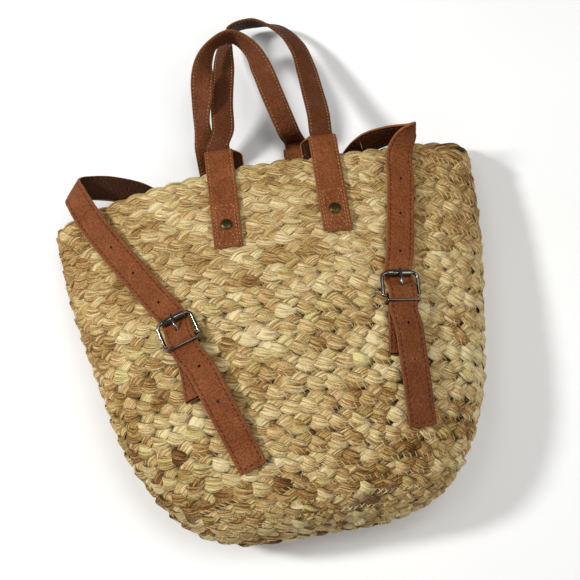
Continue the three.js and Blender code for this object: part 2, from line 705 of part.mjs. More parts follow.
for (const { side, hinge, below, above, over, anchor } of STRAPS) {
  const seat = wallAt(hinge.x, hinge.y, true);
  const ahead = direction(90 + hinge.turn, 0).multiplyScalar(BUCKLE_TAB_LENGTH);
  const foot = wallAt(hinge.x - ahead.x, hinge.y - ahead.y, true);
  const along = seat.point.clone().sub(foot.point).normalize();
  const across = along.clone().cross(seat.normal.clone().add(foot.normal)).normalize();
  const up = across.clone().cross(along);
  const buckle = new THREE.Group();
  buckle.position.copy(seat.point);
  buckle.quaternion.copy(frameQuaternion(across, along, up));
  bag.add(buckle);
  buckle.updateMatrixWorld(true);

  const halfWidth = FRAME_INNER_WIDTH / 2 + BAR;
  const frame = wireLoop(halfWidth, -BAR / 2, FRAME_LENGTH + BAR / 2, HINGE_CORNER, FRAME_CORNER, BAR);
  addPiece(`buckle_frame_${side}`, frame.translate(0, 0, FRAME_HEIGHT), GUNMETAL, buckle);
  addPiece(`buckle_roller_${side}`, rollerGeometry(), GUNMETAL, buckle);
  addPiece(`buckle_prong_${side}`, prongGeometry(), GUNMETAL, buckle);
  addPiece(`buckle_tab_${side}`, buckleTabGeometry(hinge.tabShift), LEATHER, buckle);
  const keeperHalf = KEEPER_INNER_WIDTH / 2 + KEEPER_WIRE;
  const keeperCorners = [KEEPER_CORNER, KEEPER_CORNER];
  const keeper = wireLoop(keeperHalf, KEEPER_BOTTOM, KEEPER_TOP, ...keeperCorners, KEEPER_WIRE);
  addPiece(`keeper_${side}`, keeper.rotateX(Math.PI / 2).translate(0, KEEPER_ALONG, 0), GUNMETAL, buckle);

  const onWall = (list, next) =>
    list.map((row, i) => {
      const { point, normal } = wallAt(row.x, row.y, true);
      const from = list[i - 1] ?? row;
      const to = list[i + 1] ?? next;
      const heading = new THREE.Vector3(to.x - from.x, to.y - from.y, 0);
      const centre = point.clone().addScaledVector(normal, row.gap + STRAP_THICK / 2);
      return { centre, across: heading.cross(normal).normalize(), normal, hole: row.hole };
    });
  const lower = onWall(below, hinge);
  const upper = onWall(above, over[0]);
  const through = THROUGH_BUCKLE.map((row) => ({
    centre: buckle.localToWorld(new THREE.Vector3(0, row.along, row.height)),
    across,
  }));
  const sewn = anchor.map(({ x, y, turn }) => {
    const { point, normal } = wallAt(x, y, false);
    const inward = WALL + 3 * GAP + STRAP_THICK / 2;
    return { centre: point.addScaledVector(normal, -inward), across: direction(turn, 0) };
  });
  const path = [...lower, ...through, ...upper, ...over.map(freeRow), ...sewn];
  const holes = [...lower, ...upper].filter((row) => row.hole).map(({ centre, normal }) => {
    const sizes = [STRAP_HOLE_RADIUS, STRAP_HOLE_RADIUS, 3 * STRAP_THICK, STRAP_HOLE_SIDES];
    const hole = new THREE.CylinderGeometry(...sizes);
    hole.applyQuaternion(new THREE.Quaternion().setFromUnitVectors(new THREE.Vector3(0, 1, 0), normal));
    return hole.translate(centre.x, centre.y, centre.z);
  });
  const slot = prongSlot().applyMatrix4(buckle.matrixWorld);
  addPiece(`shoulder_strap_${side}`, cut(ribbon(path, STRAP_WIDTH, STRAP_THICK), [...holes, slot]), LEATHER);
}

export default bag;
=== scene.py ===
"""Looks of the plaited bucket backpack: straw plaits, stitched leather, buckles and rivets.

Shapes are worked out in millimetres and become metres when a mesh is made.
"""

import math

import bpy
import numpy as np
from mathutils import Matrix, Vector
from mathutils.bvhtree import BVHTree


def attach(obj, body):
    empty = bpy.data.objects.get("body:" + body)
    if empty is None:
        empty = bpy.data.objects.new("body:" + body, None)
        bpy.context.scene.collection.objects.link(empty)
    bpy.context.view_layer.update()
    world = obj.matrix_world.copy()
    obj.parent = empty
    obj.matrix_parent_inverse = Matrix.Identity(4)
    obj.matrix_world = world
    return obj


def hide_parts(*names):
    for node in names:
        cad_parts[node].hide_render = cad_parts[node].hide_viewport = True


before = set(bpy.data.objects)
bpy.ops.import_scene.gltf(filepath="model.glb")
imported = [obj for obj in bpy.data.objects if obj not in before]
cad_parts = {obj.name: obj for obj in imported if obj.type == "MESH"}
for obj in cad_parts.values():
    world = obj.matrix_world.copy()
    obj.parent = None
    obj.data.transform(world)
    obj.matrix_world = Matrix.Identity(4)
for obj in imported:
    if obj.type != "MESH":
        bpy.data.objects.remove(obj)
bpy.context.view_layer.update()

MM = 0.001
SEED = 11
ACROSS, ALONG, UP = np.eye(3)
SHARP_ANGLE = 50  # degrees, of the edges that a cut leaves

# Basket wall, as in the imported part
WALL = 7
CROWN_POWER = 2.4
FLOOR_POWER = 3.6
FLOOR_SINK = 1.5
HITCH_START = 0.25
HITCH_END = 0.9
BACK_BOW_SHARE = 1.1
SECTION_COLUMNS = ("drop", "edge_y", "half_width", "bow", "crown", "floor", "edge", "skew", "hitch")
SECTION_ROWS = [
    (0, 161, 216, 26, 76, 8, 34, 40, 12),
    (45, 117, 213, 25, 84, 6, 36, 35, 9),
    (90, 73, 208, 24, 92, 4, 38, 28, 6),
    (130, 33.5, 200, 23, 98.5, 0.5, 40, 22, 3.5),
    (180, -16, 189, 22, 104, -1.5, 43, 15, 1.5),
    (240, -74, 174, 20, 108, 0, 45, 9, 0),
    (290, -119, 152, 16, 108, 0, 46, 4, 0),
    (330, -148, 129, 11, 101, 3, 47, 0, 0),
    (360, -165, 105, 7, 89, 13, 48, 0, 0),
    (390, -175, 73, 3, 67, 31, 48, 0, 0),
    (410, -178, 50, 0, 49, 47, 48, 0, 0),
]
SECTIONS = dict(zip(SECTION_COLUMNS, np.array(SECTION_ROWS, float).T))
LAST_DROP = SECTION_ROWS[-1][0]
GRID_START = -6
GRID_STEP = 2
HALF_COLUMNS = 360
FINE_RING = 500
HALVINGS = 40  # to find a place on the wall

# Plaits
ROWS = 23
RIM_INSET = 1.2  # of the first row
RIM_CALM = 0.4  # share of the swing left at the rim
PITCH = (LAST_DROP - RIM_INSET) / ROWS
PERIOD = 54  # along the row, for one strand to come back to the same edge
STRAND_STEPS = 20  # for each period
STRAND_SIDES = 12
STRAND_SIDE_STEP = 2.2  # round a strand, for each side
SWING = 6.0  # of a strand to either side of the row's middle
WEAVE = 1.7  # of a strand over and under the others
ROW_TILT = 1.0  # of a row's lower edge over the next row's upper one
ROW_SINK = 0.3  # of the strands' middle below the wall's
STRAND_HALF_WIDTH = 6.3
STRAND_HALF_THICK = 1.4
STRAND_ROLL = 0.2
SECTION_POWER = 0.62
WIDTH_SHARE = 0.94
WIDTH_SWING = 0.2  # wider where a strand lies on top
# Unevenness of a strand, as shares of its even values
UNEVEN = {
    "angle": 0.34, "swing": 0.2, "weave": 0.18, "roll": 0.12, "width": 0.1, "thick": 0.12, "tone": 0.08,
    "ridge_width": 0.05, "ridge_thick": 0.14,
}
FLOOR_CLEAR = 0.05
ROW_GROUPS = ((0, 5), (5, 10), (10, 16), (16, ROWS))
WANDER = 1.1  # of the rows from their even lines
WANDER_WAVES = ((3, 70, 0, 1), (5, -45, 1, 0.7), (11, 33, 0, 0.5))  # waves round, fall, start and share
WANDER_START = (0, 60)
WANDER_END = (360, 405)

# Tone of the straw, from pale at 0 to dark brown at 1, and what each zone adds to it; low and bottom are the
# straw's own tone, while upper, left and right add painted shade and low_right adds painted light
BASE_TONE = 0.285
ZONE_TONES_AND_PAINTED_LIGHT = {"low": 0.14, "upper": 0.06, "bottom": -0.14, "left": 0.14, "right": 0.14, "low_right": -0.12}
SIDE_ZONE = (60, 200)  # to either side of the middle
BELOW_RIM = (60, 160)  # drops between which a zone begins or ends
UPPER_ZONE = (70, 190)
LOW_ZONE = (190, 330)
PATCHY_ZONE = (220, 320)
BOTTOM_ZONE = (345, 375)
LOW_RIGHT_X = 200
LOW_RIGHT_DROP = 260
DARK_ZONE = (0.5, 1.4)  # on the way from high up on the left to low down on the right
UPPER_FLATTER = 0.3  # share of a row's relief that the upper zone loses
UPPER_CALMER = 0.5  # share of its contrast
PATCHY_MORE = 1.1
LEAF_TONE = 0.07
LEAF_HUE = 0.22
BROWN_SHARE = 0.03  # of the leaves
BROWN_TONE = 0.25
PALE_SHARE = 0.05
PALE_TONE = -0.12
BAND_TONE = 0.08
DARK_BAND = (0.3, 0.8)
DARK_BAND_TONE = 0.13
STRAND_EDGE_TONE = 0.1
STAIN_PLACE = (41, -151.5)  # dark stretch of a row on the front wall, as x and y
STAIN_LENGTH = 32
STAIN_WIDTH = 7
STAIN_TURN = 14  # degrees
STAIN_FADE = (0.5, 1.1)
STAIN_TONE = 0.9
STAIN_FROM = 50  # height, so that only the front wall has it

# Sewing thread between the rows
TOOTH = 5.6
TOOTH_HEIGHT = 3.9
THREAD_RADIUS = 0.38
CROSSED_FROM = 19  # row
THREAD_SIDES = 4
SEAM_PLACES = (0, 0.3, 0.6, 0.9, 0.94, 0.97)  # along a tooth, the long stroke and then the way back
SEAM_SWINGS = (-1, -0.33, 0.33, 1, 0.33, -0.4)
SEAM_HEIGHTS = (-0.8, 0, 0, -0.8, -1.2, -1.2)  # over the sewn stroke's own height
PROUD_ZONE = (0.2, 1.1)  # where the thread shows, on the same way as the dark zone
RAY_START = 9
RAY_REACH = 16

# Loose fibres
FIBRES = 1800
FIBRE_POINTS = 5
FIBRE_SIDES = 3
FIBRE_DROPS = (2, LAST_DROP - 25)
FIBRE_LENGTHS = (5, 15)
FIBRE_LIFTS = (0.02, 0.35)
FIBRE_BENDS = (-0.5, 0.5)
FIBRE_RADII = (0.16, 0.05)  # at the root and at the tip
FIBRE_SINK = 0.3
FIBRE_ARCH = 1.35

# Leather
GAP = 0.4
TAB_WIDTH = 28
TAB_THICK = 2.2
TAB_FRONT_LEG = 87.5
TAB_INNER_LEG = 72
TAB_RISE = 20
HANDLE_WIDTH = 23
HANDLE_THICK = 3
HANDLE_STRAIGHT = (4, TAB_RISE / 2, TAB_RISE + 1, TAB_RISE + 6)
STRAP_WIDTH = 27
STRAP_THICK = 2.4
STRAP_HOLE_RADIUS = 1.3
STRAP_HOLE_REACH = 4
RIBBON_STEP = 1.6
RIBBON_FINE = 60  # points for each row, to measure a strip along
RIBBON_ENDS = (0, 0.03, 0.1, 0.22, 0.4, 0.65, 1)  # places along a rounded corner
RIBBON_THIN = 0.05  # square of the share of the thickness left at an end
CUT_END = 0.8  # stretch of an end that shows the cut leather
EDGE_TURNS = (60, 30, 0, -30, -60)  # degrees round an edge
SEAM_STEPS = (-0.9, -0.45, 0, 0.45, 0.9, 2, 4.5)  # section points beside a seam
SEAM_DIP = 0.45
SEAM_DIP_WIDTH = 0.55
SEAM_LINE_STEP = 0.8
STITCH_SIDES = 6
STITCH_SLANT = 0.14
STITCH_REACH = 0.6  # to either side, to find a seam's direction
# Stitch from end to end, as shares of its length, radius and radius
STITCH_FORM = ((-0.5, 0.35, -0.9), (-0.32, 0.9, 0.1), (0, 1, 0.35), (0.32, 0.9, 0.1), (0.5, 0.35, -0.9))
STITCH_INSET = 2.6
STRAP_STITCH_INSET = 3.7
FINE_SEAM = (3.9, 2.6, 0.36)  # pitch, length and radius of the stitches
BOLD_SEAM = (5.2, 3.7, 0.55)
# Painted shade on the handles, and on the leather below the right buckle, as shares towards dark brown
HANDLE_SHADES = {"handle_front": 0.58, "handle_back": 0.4}
LOW_STRAP_SHADE = 0.24  # below the right buckle
LOW_STRAP_X = (20, 80)
LOW_STRAP_Y = (-30, 50)
STRAP_RISE = 1.8  # straps lie on the crests of the plaits
BOX_INSET = STITCH_INSET + 2.2  # of the sewn box round a rivet

# Rivets
RIVET_DROP = 64.4
RIVET_RADIUS = 5.6
RIVET_HEIGHT = 1.7
RIVET_SHANK = 1.6
RIVET_HOLE = 2.1
RIVET_SIDES = 40
RIVET_MIDDLE = 0.02  # radius of the small face in a head's middle
# Head from its middle to its seat, as shares of radius and height.
RIVET_PROFILE = (
    (0, 1), (0.3, 0.98), (0.55, 0.92), (0.72, 0.8), (0.79, 0.62), (0.83, 0.58), (0.88, 0.62), (0.94, 0.58),
    (0.985, 0.42), (1, 0.2), (0.98, 0.03),
)

# Buckles
BAR = 3.4
FRAME_INNER_WIDTH = 31
FRAME_LENGTH = 22
FRAME_CORNER = 6.5
HINGE_CORNER = 3
FRAME_HEIGHT = 7.6
ROLLER_BORE = 2.2
ROLLER_RADIUS = 3.4
ROLLER_LENGTH = 22.5
BUCKLE_TAB_WIDTH = 26
BUCKLE_TAB_THICK = 1.8
BUCKLE_TAB_LENGTH = 55
BUCKLE_TAB_FLAT = 14
BUCKLE_TAB_NECK = 7
BUCKLE_TAB_LIFT = 0.6
BUCKLE_TAB_SPREAD = 1.4
BUCKLE_TAB_PINCH = 0.4
BUCKLE_TAB_STEP = 2
PRONG_WIDTH = 3.4
PRONG_HALF = 1.1
PRONG_EYE = 3.6
PRONG_SLOT_GAP = 0.45
PRONG_POINTS = 30
PRONG_SIDES = 14
PRONG_POWER = 0.8
PRONG_TAPER = 0.28
PRONG_TIP = (0.92, 0.72, 0.3)
ROLLER_ROUNDING = 0.5
EYE_ROUNDING = 0.6
KEEPER_WIRE = 2.2
KEEPER_INNER_WIDTH = 28.6
KEEPER_ALONG = -6
KEEPER_BOTTOM = 0.7
KEEPER_TOP = 16.8
KEEPER_CORNER = 3

# Where each handle tab crosses the rim, where its outer leg ends, and how far its inner leg stands aside
TABS = {
    "front_left": {"front": True, "top_x": -40, "end_x": -44, "lean": 9},
    "front_right": {"front": True, "top_x": 64, "end_x": 61, "lean": -8},
    "back_left": {"front": False, "top_x": -52, "end_x": -52, "lean": 0},
    "back_right": {"front": False, "top_x": 42, "end_x": 42, "lean": 0},
}

# Handles between their tabs: x, y, z, and azimuth and elevation of the line across the strap
HANDLES = {
    "handle_front": {
        "tabs": ("front_left", "front_right"),
        "rows": [
            (-32, 225, 65, 0, 0),
            (-28, 259, 54, -4, 4),
            (-20.5, 300, 43, -10, 10),
            (-15, 331, 32, -26, 40),
            (-8, 352, 28, -58, 86),
            (18, 359, 25, -88, 85),
            (46, 347, 25, -115, 46),
            (61, 321, 30, -140, 26),
            (65, 290, 40, -160, 13),
            (66, 258, 52, -172, 6),
            (66, 228, 65, 180, 0),
        ],
    },
    "handle_back": {
        "tabs": ("back_left", "back_right"),
        "rows": [
            (-52, 217, 27, 0, 0),
            (-51.5, 242, 51, -3, 44),
            (-46.5, 266, 64, -5, 18),
            (-43, 287, 66, -12, -14),
            (-37, 308, 63, -30, -56),
            (-24, 326, 59, -58, -86),
            (-6, 331, 56, -88, -80),
            (9, 318, 53, -130, -60),
            (18, 293, 54, -156, -22),
            (24.5, 262, 55, -166, -5),
            (31, 238, 47, -170, 0),
            (36, 224, 36, -174, 0),
        ],
    },
}

# Shoulder straps: stretches on the front wall as x, y and gap, the free stretch as in the handles, and the
# end that is sewn inside the back wall as x, y and turn
STRAPS = {
    "left": {
        "hinge": (-98.5, 17.8),
        "turn": 15,
        "tab_shift": -9,
        "below": [(-53.6, -106.8, 0.5), (-74.6, -44.1, 5.4), (-86.5, -9.7, 5.6)],
        "above": [(-116, 57.7, 0.8), (-136.4, 91.3, 0.7), (-154.5, 121.9, 0.8)],
        "over": [
            (-173, 154, 70, 32, 14),
            (-184, 180, 68, 45, 8),
            (-188, 194, 57, 54, 0),
            (-174, 197, 46, 68, -4),
            (-150, 193, 42, 78, -4),
            (-122, 182, 35, 66, -2),
            (-102, 163, 25, 45, 0),
        ],
        "anchor": [(-91, 139, 28), (-86, 125, 22)],
    },
    "right": {
        "hinge": (104.7, 24.2),
        "turn": -6,
        "tab_shift": -3,
        "below": [(100.9, -96.2, 0.5), (103.3, -36.3, 5.4), (105, -2.4, 5.6)],
        "above": [(113.8, 67.8, 0.8), (122.7, 105.8, 0.7), (130.9, 141.9, 0.8)],
        "over": [
            (136, 170, 78, -14, -14),
            (145, 183, 82, -28, -44),
            (155, 190, 82, -60, -78),
            (149, 190, 77, -90, -74),
            (128, 193, 67, -84, -64),
            (104, 191, 52, -72, -50),
            (86, 172, 33, -48, -20),
        ],
        "anchor": [(80, 146, -22), (76, 132, -16)],
    },
}
THROUGH_BUCKLE = [(-14, 9.9), (-5, 13), (1, 13.8), (6, 12.1), (14, 5.9), (22, 2.2)]  # along, height
PRONG_LINE = [(2.6, 7.7), (4.8, 8.2), (11, 12.9), (22, 12.6), (26.6, 11.2)]

# Camera and light
CAMERA = (-30, -120, 930)
TARGET = (6, 51, 85)
CAMERA_UP = (0.172, 0.985, 0)
LENS = 56.7
FLOOR_HALF = 4000
SKY_STRENGTH = 0.2
LIGHT_UP = (0, 1, 0.01)
# Place, target, size in metres and power of each light
LIGHTS = {
    "key": ((-1600, 500, 1450), (0, 60, 40), 0.3, 37),
    "fill": ((1100, -300, 1400), (0, 40, 40), 1.2, 9),
    "top_right": ((400, 390, 1900), (40, 60, 60), 0.75, 7),
    "top_left": ((-620, 440, 1900), (-60, 60, 60), 0.6, 4),
}

rng = np.random.default_rng(SEED)


# Vectors and curves

def smoothstep(value, low, high):
    share = np.clip((value - low) / (high - low), 0, 1)
    return share * share * (3 - 2 * share)


def signed_power(values, power):
    return np.sign(values) * np.abs(values) ** power


def unit(vectors):
    return vectors / np.maximum(np.linalg.norm(vectors, axis=-1, keepdims=True), 1e-9)


def direction(turn, tip):
    azimuth = math.radians(turn)
    elevation = math.radians(tip)
    level = math.cos(elevation)
    return np.array([level * math.cos(azimuth), level * math.sin(azimuth), math.sin(elevation)])


def travelled(points):
    """Distance from the start of a line to each of its points."""
    steps = np.linalg.norm(np.diff(points, axis=0), axis=1)
    return np.concatenate([[0], np.cumsum(steps)])


def interpolated(places, way, values):
    """Points or directions between the given ones, by distance along their line."""
    return np.stack([np.interp(places, way, values[:, axis]) for axis in range(3)], axis=1)


def along_loop(points):
    """Direction of a closed line at each of its points."""
    return unit(np.roll(points, -1, axis=0) - np.roll(points, 1, axis=0))


def turns(sides):
    """Evenly spaced angles of a full turn."""
    return 2 * math.pi * np.arange(sides) / sides


def round_rings(centres, side, up, radii, sides):
    """A ring of points about each centre, in the plane of two directions."""
    turn = turns(sides)[:, None]
    ring = side[..., None, :] * np.cos(turn) + up[..., None, :] * np.sin(turn)
    return centres[:, None] + radii[:, None, None] * ring


def catmull_rom(points, t):
    """Points of a centripetal curve through the given points, at t from 0 to 1."""
    points = np.asarray(points, float)
    last = len(points) - 1
    place = np.clip(t, 0, 1) * last
    i = np.minimum(place.astype(int), last - 1)
    w = (place - i)[:, None]
    padded = np.vstack([2 * points[0] - points[1], points, 2 * points[-1] - points[-2]])
    p0, p1, p2, p3 = (padded[i + k] for k in range(4))
    spans = (p1 - p0, p2 - p1, p3 - p2)
    d0, d1, d2 = (np.linalg.norm(span, axis=1, keepdims=True) ** 0.5 for span in spans)
    d1 = np.where(d1 < 1e-4, 1, d1)
    d0 = np.where(d0 < 1e-4, d1, d0)
    d2 = np.where(d2 < 1e-4, d1, d2)
    m1 = ((p1 - p0) / d0 - (p2 - p0) / (d0 + d1) + (p2 - p1) / d1) * d1
    m2 = ((p2 - p1) / d1 - (p3 - p1) / (d1 + d2) + (p3 - p2) / d2) * d1
    return p1 + m1 * w + (-3 * p1 + 3 * p2 - 2 * m1 - m2) * w**2 + (2 * p1 - 2 * p2 + m1 + m2) * w**3


def periodic_noise(count, cells):
    """Smooth noise from -1 to 1 that closes on itself after count samples."""
    values = rng.uniform(-1, 1, cells)
    place = np.arange(count) * cells / count
    i = place.astype(int) % cells
    w = place % 1
    w = w * w * (3 - 2 * w)
    return values[i] * (1 - w) + values[(i + 1) % cells] * w


# Meshes

def keep_above_floor(rings):
    rings[..., 2] = np.maximum(rings[..., 2], FLOOR_CLEAR)


def loft(rings, closed=False):
    """Vertices and faces of a tube through rings of points."""
    count, sides = rings.shape[:2]
    index = np.arange(count * sides).reshape(count, sides)
    near = index if closed else index[:-1]
    far = np.roll(index, -1, axis=0) if closed else index[1:]
    quads = np.stack([near, np.roll(near, -1, axis=1), np.roll(far, -1, axis=1), far], axis=-1)
    faces = quads.reshape(-1, 4).tolist()
    if not closed:
        faces += [index[0, ::-1].tolist(), index[-1].tolist()]
    return rings.reshape(-1, 3), faces


def joined(parts):
    """One list of vertices and faces from several."""
    points = []
    faces = []
    offset = 0
    for part_points, part_faces in parts:
        points.append(part_points)
        faces += [[i + offset for i in face] for face in part_faces]
        offset += len(part_points)
    return np.concatenate(points), faces


def make_object(name, points, faces, material=None, layers=None, fibre_uv=None):
    mesh = bpy.data.meshes.new(name)
    mesh.from_pydata((np.asarray(points) * MM).tolist(), [], faces)
    mesh.polygons.foreach_set("use_smooth", np.ones(len(mesh.polygons), bool))
    for layer, values in (layers or {}).items():
        attribute = mesh.attributes.new(layer, "FLOAT", "POINT")
        attribute.data.foreach_set("value", np.asarray(values, np.float32))
    if fibre_uv is not None:
        uv = mesh.uv_layers.new(name="fibre")
        uv.data.foreach_set("uv", np.asarray(fibre_uv, np.float32).ravel())
    if material:
        mesh.materials.append(material)
    made = bpy.data.objects.new(name, mesh)
    bpy.context.scene.collection.objects.link(made)
    return made


def add_piece(name, shape, material, slot, nodes=(), **details):
    made = make_object(name, *shape, material, **details)
    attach(made, "root")
    if nodes:
        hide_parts(*nodes)
    return made


def cut(piece, shapes):
    """Take closed shapes out of a piece."""
    tool = make_object("cutter", *joined(shapes))
    change = piece.modifiers.new("cut", "BOOLEAN")
    change.operation = "DIFFERENCE"
    change.solver = "EXACT"
    change.object = tool
    bpy.context.view_layer.update()
    graph = bpy.context.evaluated_depsgraph_get()
    result = bpy.data.meshes.new_from_object(piece.evaluated_get(graph))
    piece.modifiers.remove(change)
    old = piece.data
    piece.data = result
    bpy.data.meshes.remove(old)
    bpy.data.objects.remove(tool)
    piece.data.set_sharp_from_angle(angle=math.radians(SHARP_ANGLE))


# Basket surface

def column(name, drop):
    """A column of the section table at any drop, by a cubic through the rows."""
    knots = SECTIONS["drop"]
    values = SECTIONS[name]
    order = np.arange(len(knots))
    before = np.maximum(order - 1, 0)
    after = np.minimum(order + 1, len(knots) - 1)
    slopes = (values[after] - values[before]) / (knots[after] - knots[before])
    i = np.clip(np.searchsorted(knots, drop, side="right") - 1, 0, len(knots) - 2)
    span = knots[i + 1] - knots[i]
    u = (drop - knots[i]) / span
    cubic = (
        (2 * u**3 - 3 * u**2 + 1) * values[i]
        + (u**3 - 2 * u**2 + u) * span * slopes[i]
        + (3 * u**2 - 2 * u**3) * values[i + 1]
        + (u**3 - u**2) * span * slopes[i + 1]
    )
    return np.where(u < 0, values[i] + slopes[i] * span * u, cubic)


def wall_point(drop, x, front):
    """Points of the outer surface on the front or back wall at x."""
    share = np.clip(x / column("half_width", drop), -1, 1)
    power = CROWN_POWER if front else FLOOR_POWER
    lift = (1 - np.abs(share) ** power) ** (1 / power)
    rise = column("bow", drop) * (1 - share * share)
    y = column("edge_y", drop)
    edge = column("edge", drop)
    hitch = column("hitch", drop) * smoothstep(share, HITCH_START, HITCH_END)
    if front:
        height = edge + (column("crown", drop) - edge) * lift
        return np.stack(np.broadcast_arrays(x, y + rise + hitch, height), axis=-1)
    floor = np.maximum(0, column("floor", drop))
    low = np.maximum(floor, edge - (edge - floor + FLOOR_SINK) * lift)
    back_y = y + rise * BACK_BOW_SHARE + column("skew", drop) * lift * share + hitch * (1 - lift)
    return np.stack(np.broadcast_arrays(x, back_y, low), axis=-1)


def wall_at_drop(drop, x, front):
    """Point and outward normal of the wall at one place."""
    point = wall_point(drop, x, front)
    across = wall_point(drop, x + 1, front) - wall_point(drop, x - 1, front)
    up = wall_point(drop - 1, x, front) - wall_point(drop + 1, x, front)
    normal = unit(np.cross(across, up))
    return point, normal if front else -normal


def wall_at(x, y, front):
    """Point and outward normal of the wall at x and y."""
    low = 0.0
    high = float(LAST_DROP)
    for _ in range(HALVINGS):
        middle = (low + high) / 2
        if wall_point(middle, x, front)[1] > y:
            low = middle
        else:
            high = middle
    return wall_at_drop(low, x, front)


def half_ring(drop, front):
    """Evenly spaced points from one side fold to the other, and the length of that way."""
    cosine = np.cos(np.linspace(0, math.pi, FINE_RING))
    power = CROWN_POWER if front else FLOOR_POWER
    x = column("half_width", drop) * signed_power(cosine, 2 / power)
    points = wall_point(drop, x if front else -x, front)
    way = travelled(points)
    even = np.linspace(0, way[-1], HALF_COLUMNS + 1)[:-1]
    return interpolated(even, way, points), way[-1]


class Wall:
    """The basket's outer surface on a fine grid, addressed by the share of the way round and the drop."""

    def __init__(self):
        self.drops = np.arange(GRID_START, LAST_DROP + GRID_STEP, GRID_STEP, dtype=float)
        fronts, self.fronts = zip(*(half_ring(drop, True) for drop in self.drops))
        backs, self.backs = zip(*(half_ring(drop, False) for drop in self.drops))
        self.grid = np.concatenate([fronts, backs], axis=1)
        round_way = np.roll(self.grid, -1, axis=1) - np.roll(self.grid, 1, axis=1)
        down = np.gradient(self.grid, axis=0)
        self.normals = unit(np.cross(round_way, down))

    def lengths(self, drop):
        return np.interp(drop, self.drops, self.fronts), np.interp(drop, self.drops, self.backs)

    def share(self, way, drop):
        """Share of the way round for a distance along the row at that drop."""
        front, back = self.lengths(drop)
        return np.where(way < front, 0.5 * way / front, 0.5 + 0.5 * (way - front) / back)

    def sample(self, share, drop):
        columns = 2 * HALF_COLUMNS
        row = np.clip((drop - GRID_START) / GRID_STEP, 0, len(self.drops) - 1.001)
        place = (share % 1) * columns
        i = row.astype(int)
        j = place.astype(int) % columns
        beside = (j + 1) % columns
        a = (row - i)[..., None]
        b = (place % 1)[..., None]

        def blended(values):
            upper = (1 - b) * values[i, j] + b * values[i, beside]
            lower = (1 - b) * values[i + 1, j] + b * values[i + 1, beside]
            return (1 - a) * upper + a * lower

        return blended(self.grid), unit(blended(self.normals))


wall = Wall()


# Node materials

def colour(value):
    """Linear colour of a hex code, of a grey number or of red, green and blue shares."""
    if isinstance(value, str):
        parts = [int(value[i:i + 2], 16) / 255 for i in (0, 2, 4)]
        value = [part / 12.92 if part <= 0.04045 else ((part + 0.055) / 1.055) ** 2.4 for part in parts]
    elif not isinstance(value, tuple):
        value = (value, value, value)
    return (*value, 1)


class Material:
    """A Principled material with short ways to add nodes."""

    def __init__(self, name, **values):
        self.material = bpy.data.materials.new(name)
        self.material.use_nodes = True
        self.tree = self.material.node_tree
        self.shader = self.tree.nodes["Principled BSDF"]
        for socket, value in values.items():
            self.shader.inputs[socket.replace("_", " ")].default_value = value

    def node(self, kind, settings=None, **inputs):
        made = self.tree.nodes.new("ShaderNode" + kind)
        for name, value in (settings or {}).items():
            setattr(made, name, value)
        for name, value in inputs.items():
            self.feed(made.inputs[name.replace("_", " ")], value)
        return made

    def feed(self, socket, value):
        if isinstance(value, bpy.types.NodeSocket):
            self.tree.links.new(value, socket)
        else:
            socket.default_value = value

    def set(self, socket, value):
        self.feed(self.shader.inputs[socket], value)

    def attribute(self, name):
        return self.node("Attribute", {"attribute_name": name}).outputs["Fac"]

    def math(self, operation, a, b):
        made = self.node("Math", {"operation": operation})
        self.feed(made.inputs[0], a)
        self.feed(made.inputs[1], b)
        return made.outputs[0]

    def mix(self, factor, a, b, blend="MIX"):
        made = self.node("Mix", {"data_type": "RGBA", "blend_type": blend, "clamp_factor": True})
        self.feed(made.inputs[0], factor)
        self.feed(made.inputs[6], a)
        self.feed(made.inputs[7], colour(b) if isinstance(b, str) else b)
        return made.outputs[2]

    def ramp(self, factor, stops):
        made = self.node("ValToRGB", None, Fac=factor)
        elements = made.color_ramp.elements
        while len(elements) < len(stops):
            elements.new(1)
        for element, (position, value) in zip(elements, stops):
            element.position = position
            element.color = colour(value)
        return made.outputs["Color"]

    def scaled(self, source, scale):
        return self.node("Mapping", None, Vector=source, Scale=scale).outputs["Vector"]

    def noise(self, vector, scale, detail=3.0, roughness=0.5):
        inputs = {"Vector": vector, "Scale": scale, "Detail": detail, "Roughness": roughness}
        return self.node("TexNoise", None, **inputs).outputs["Fac"]

    def place(self):
        return self.node("TexCoord").outputs["Object"]

    def bump(self, height, distance, strength):
        made = self.node("Bump", None, Height=height, Distance=distance, Strength=strength)
        self.set("Normal", made.outputs["Normal"])


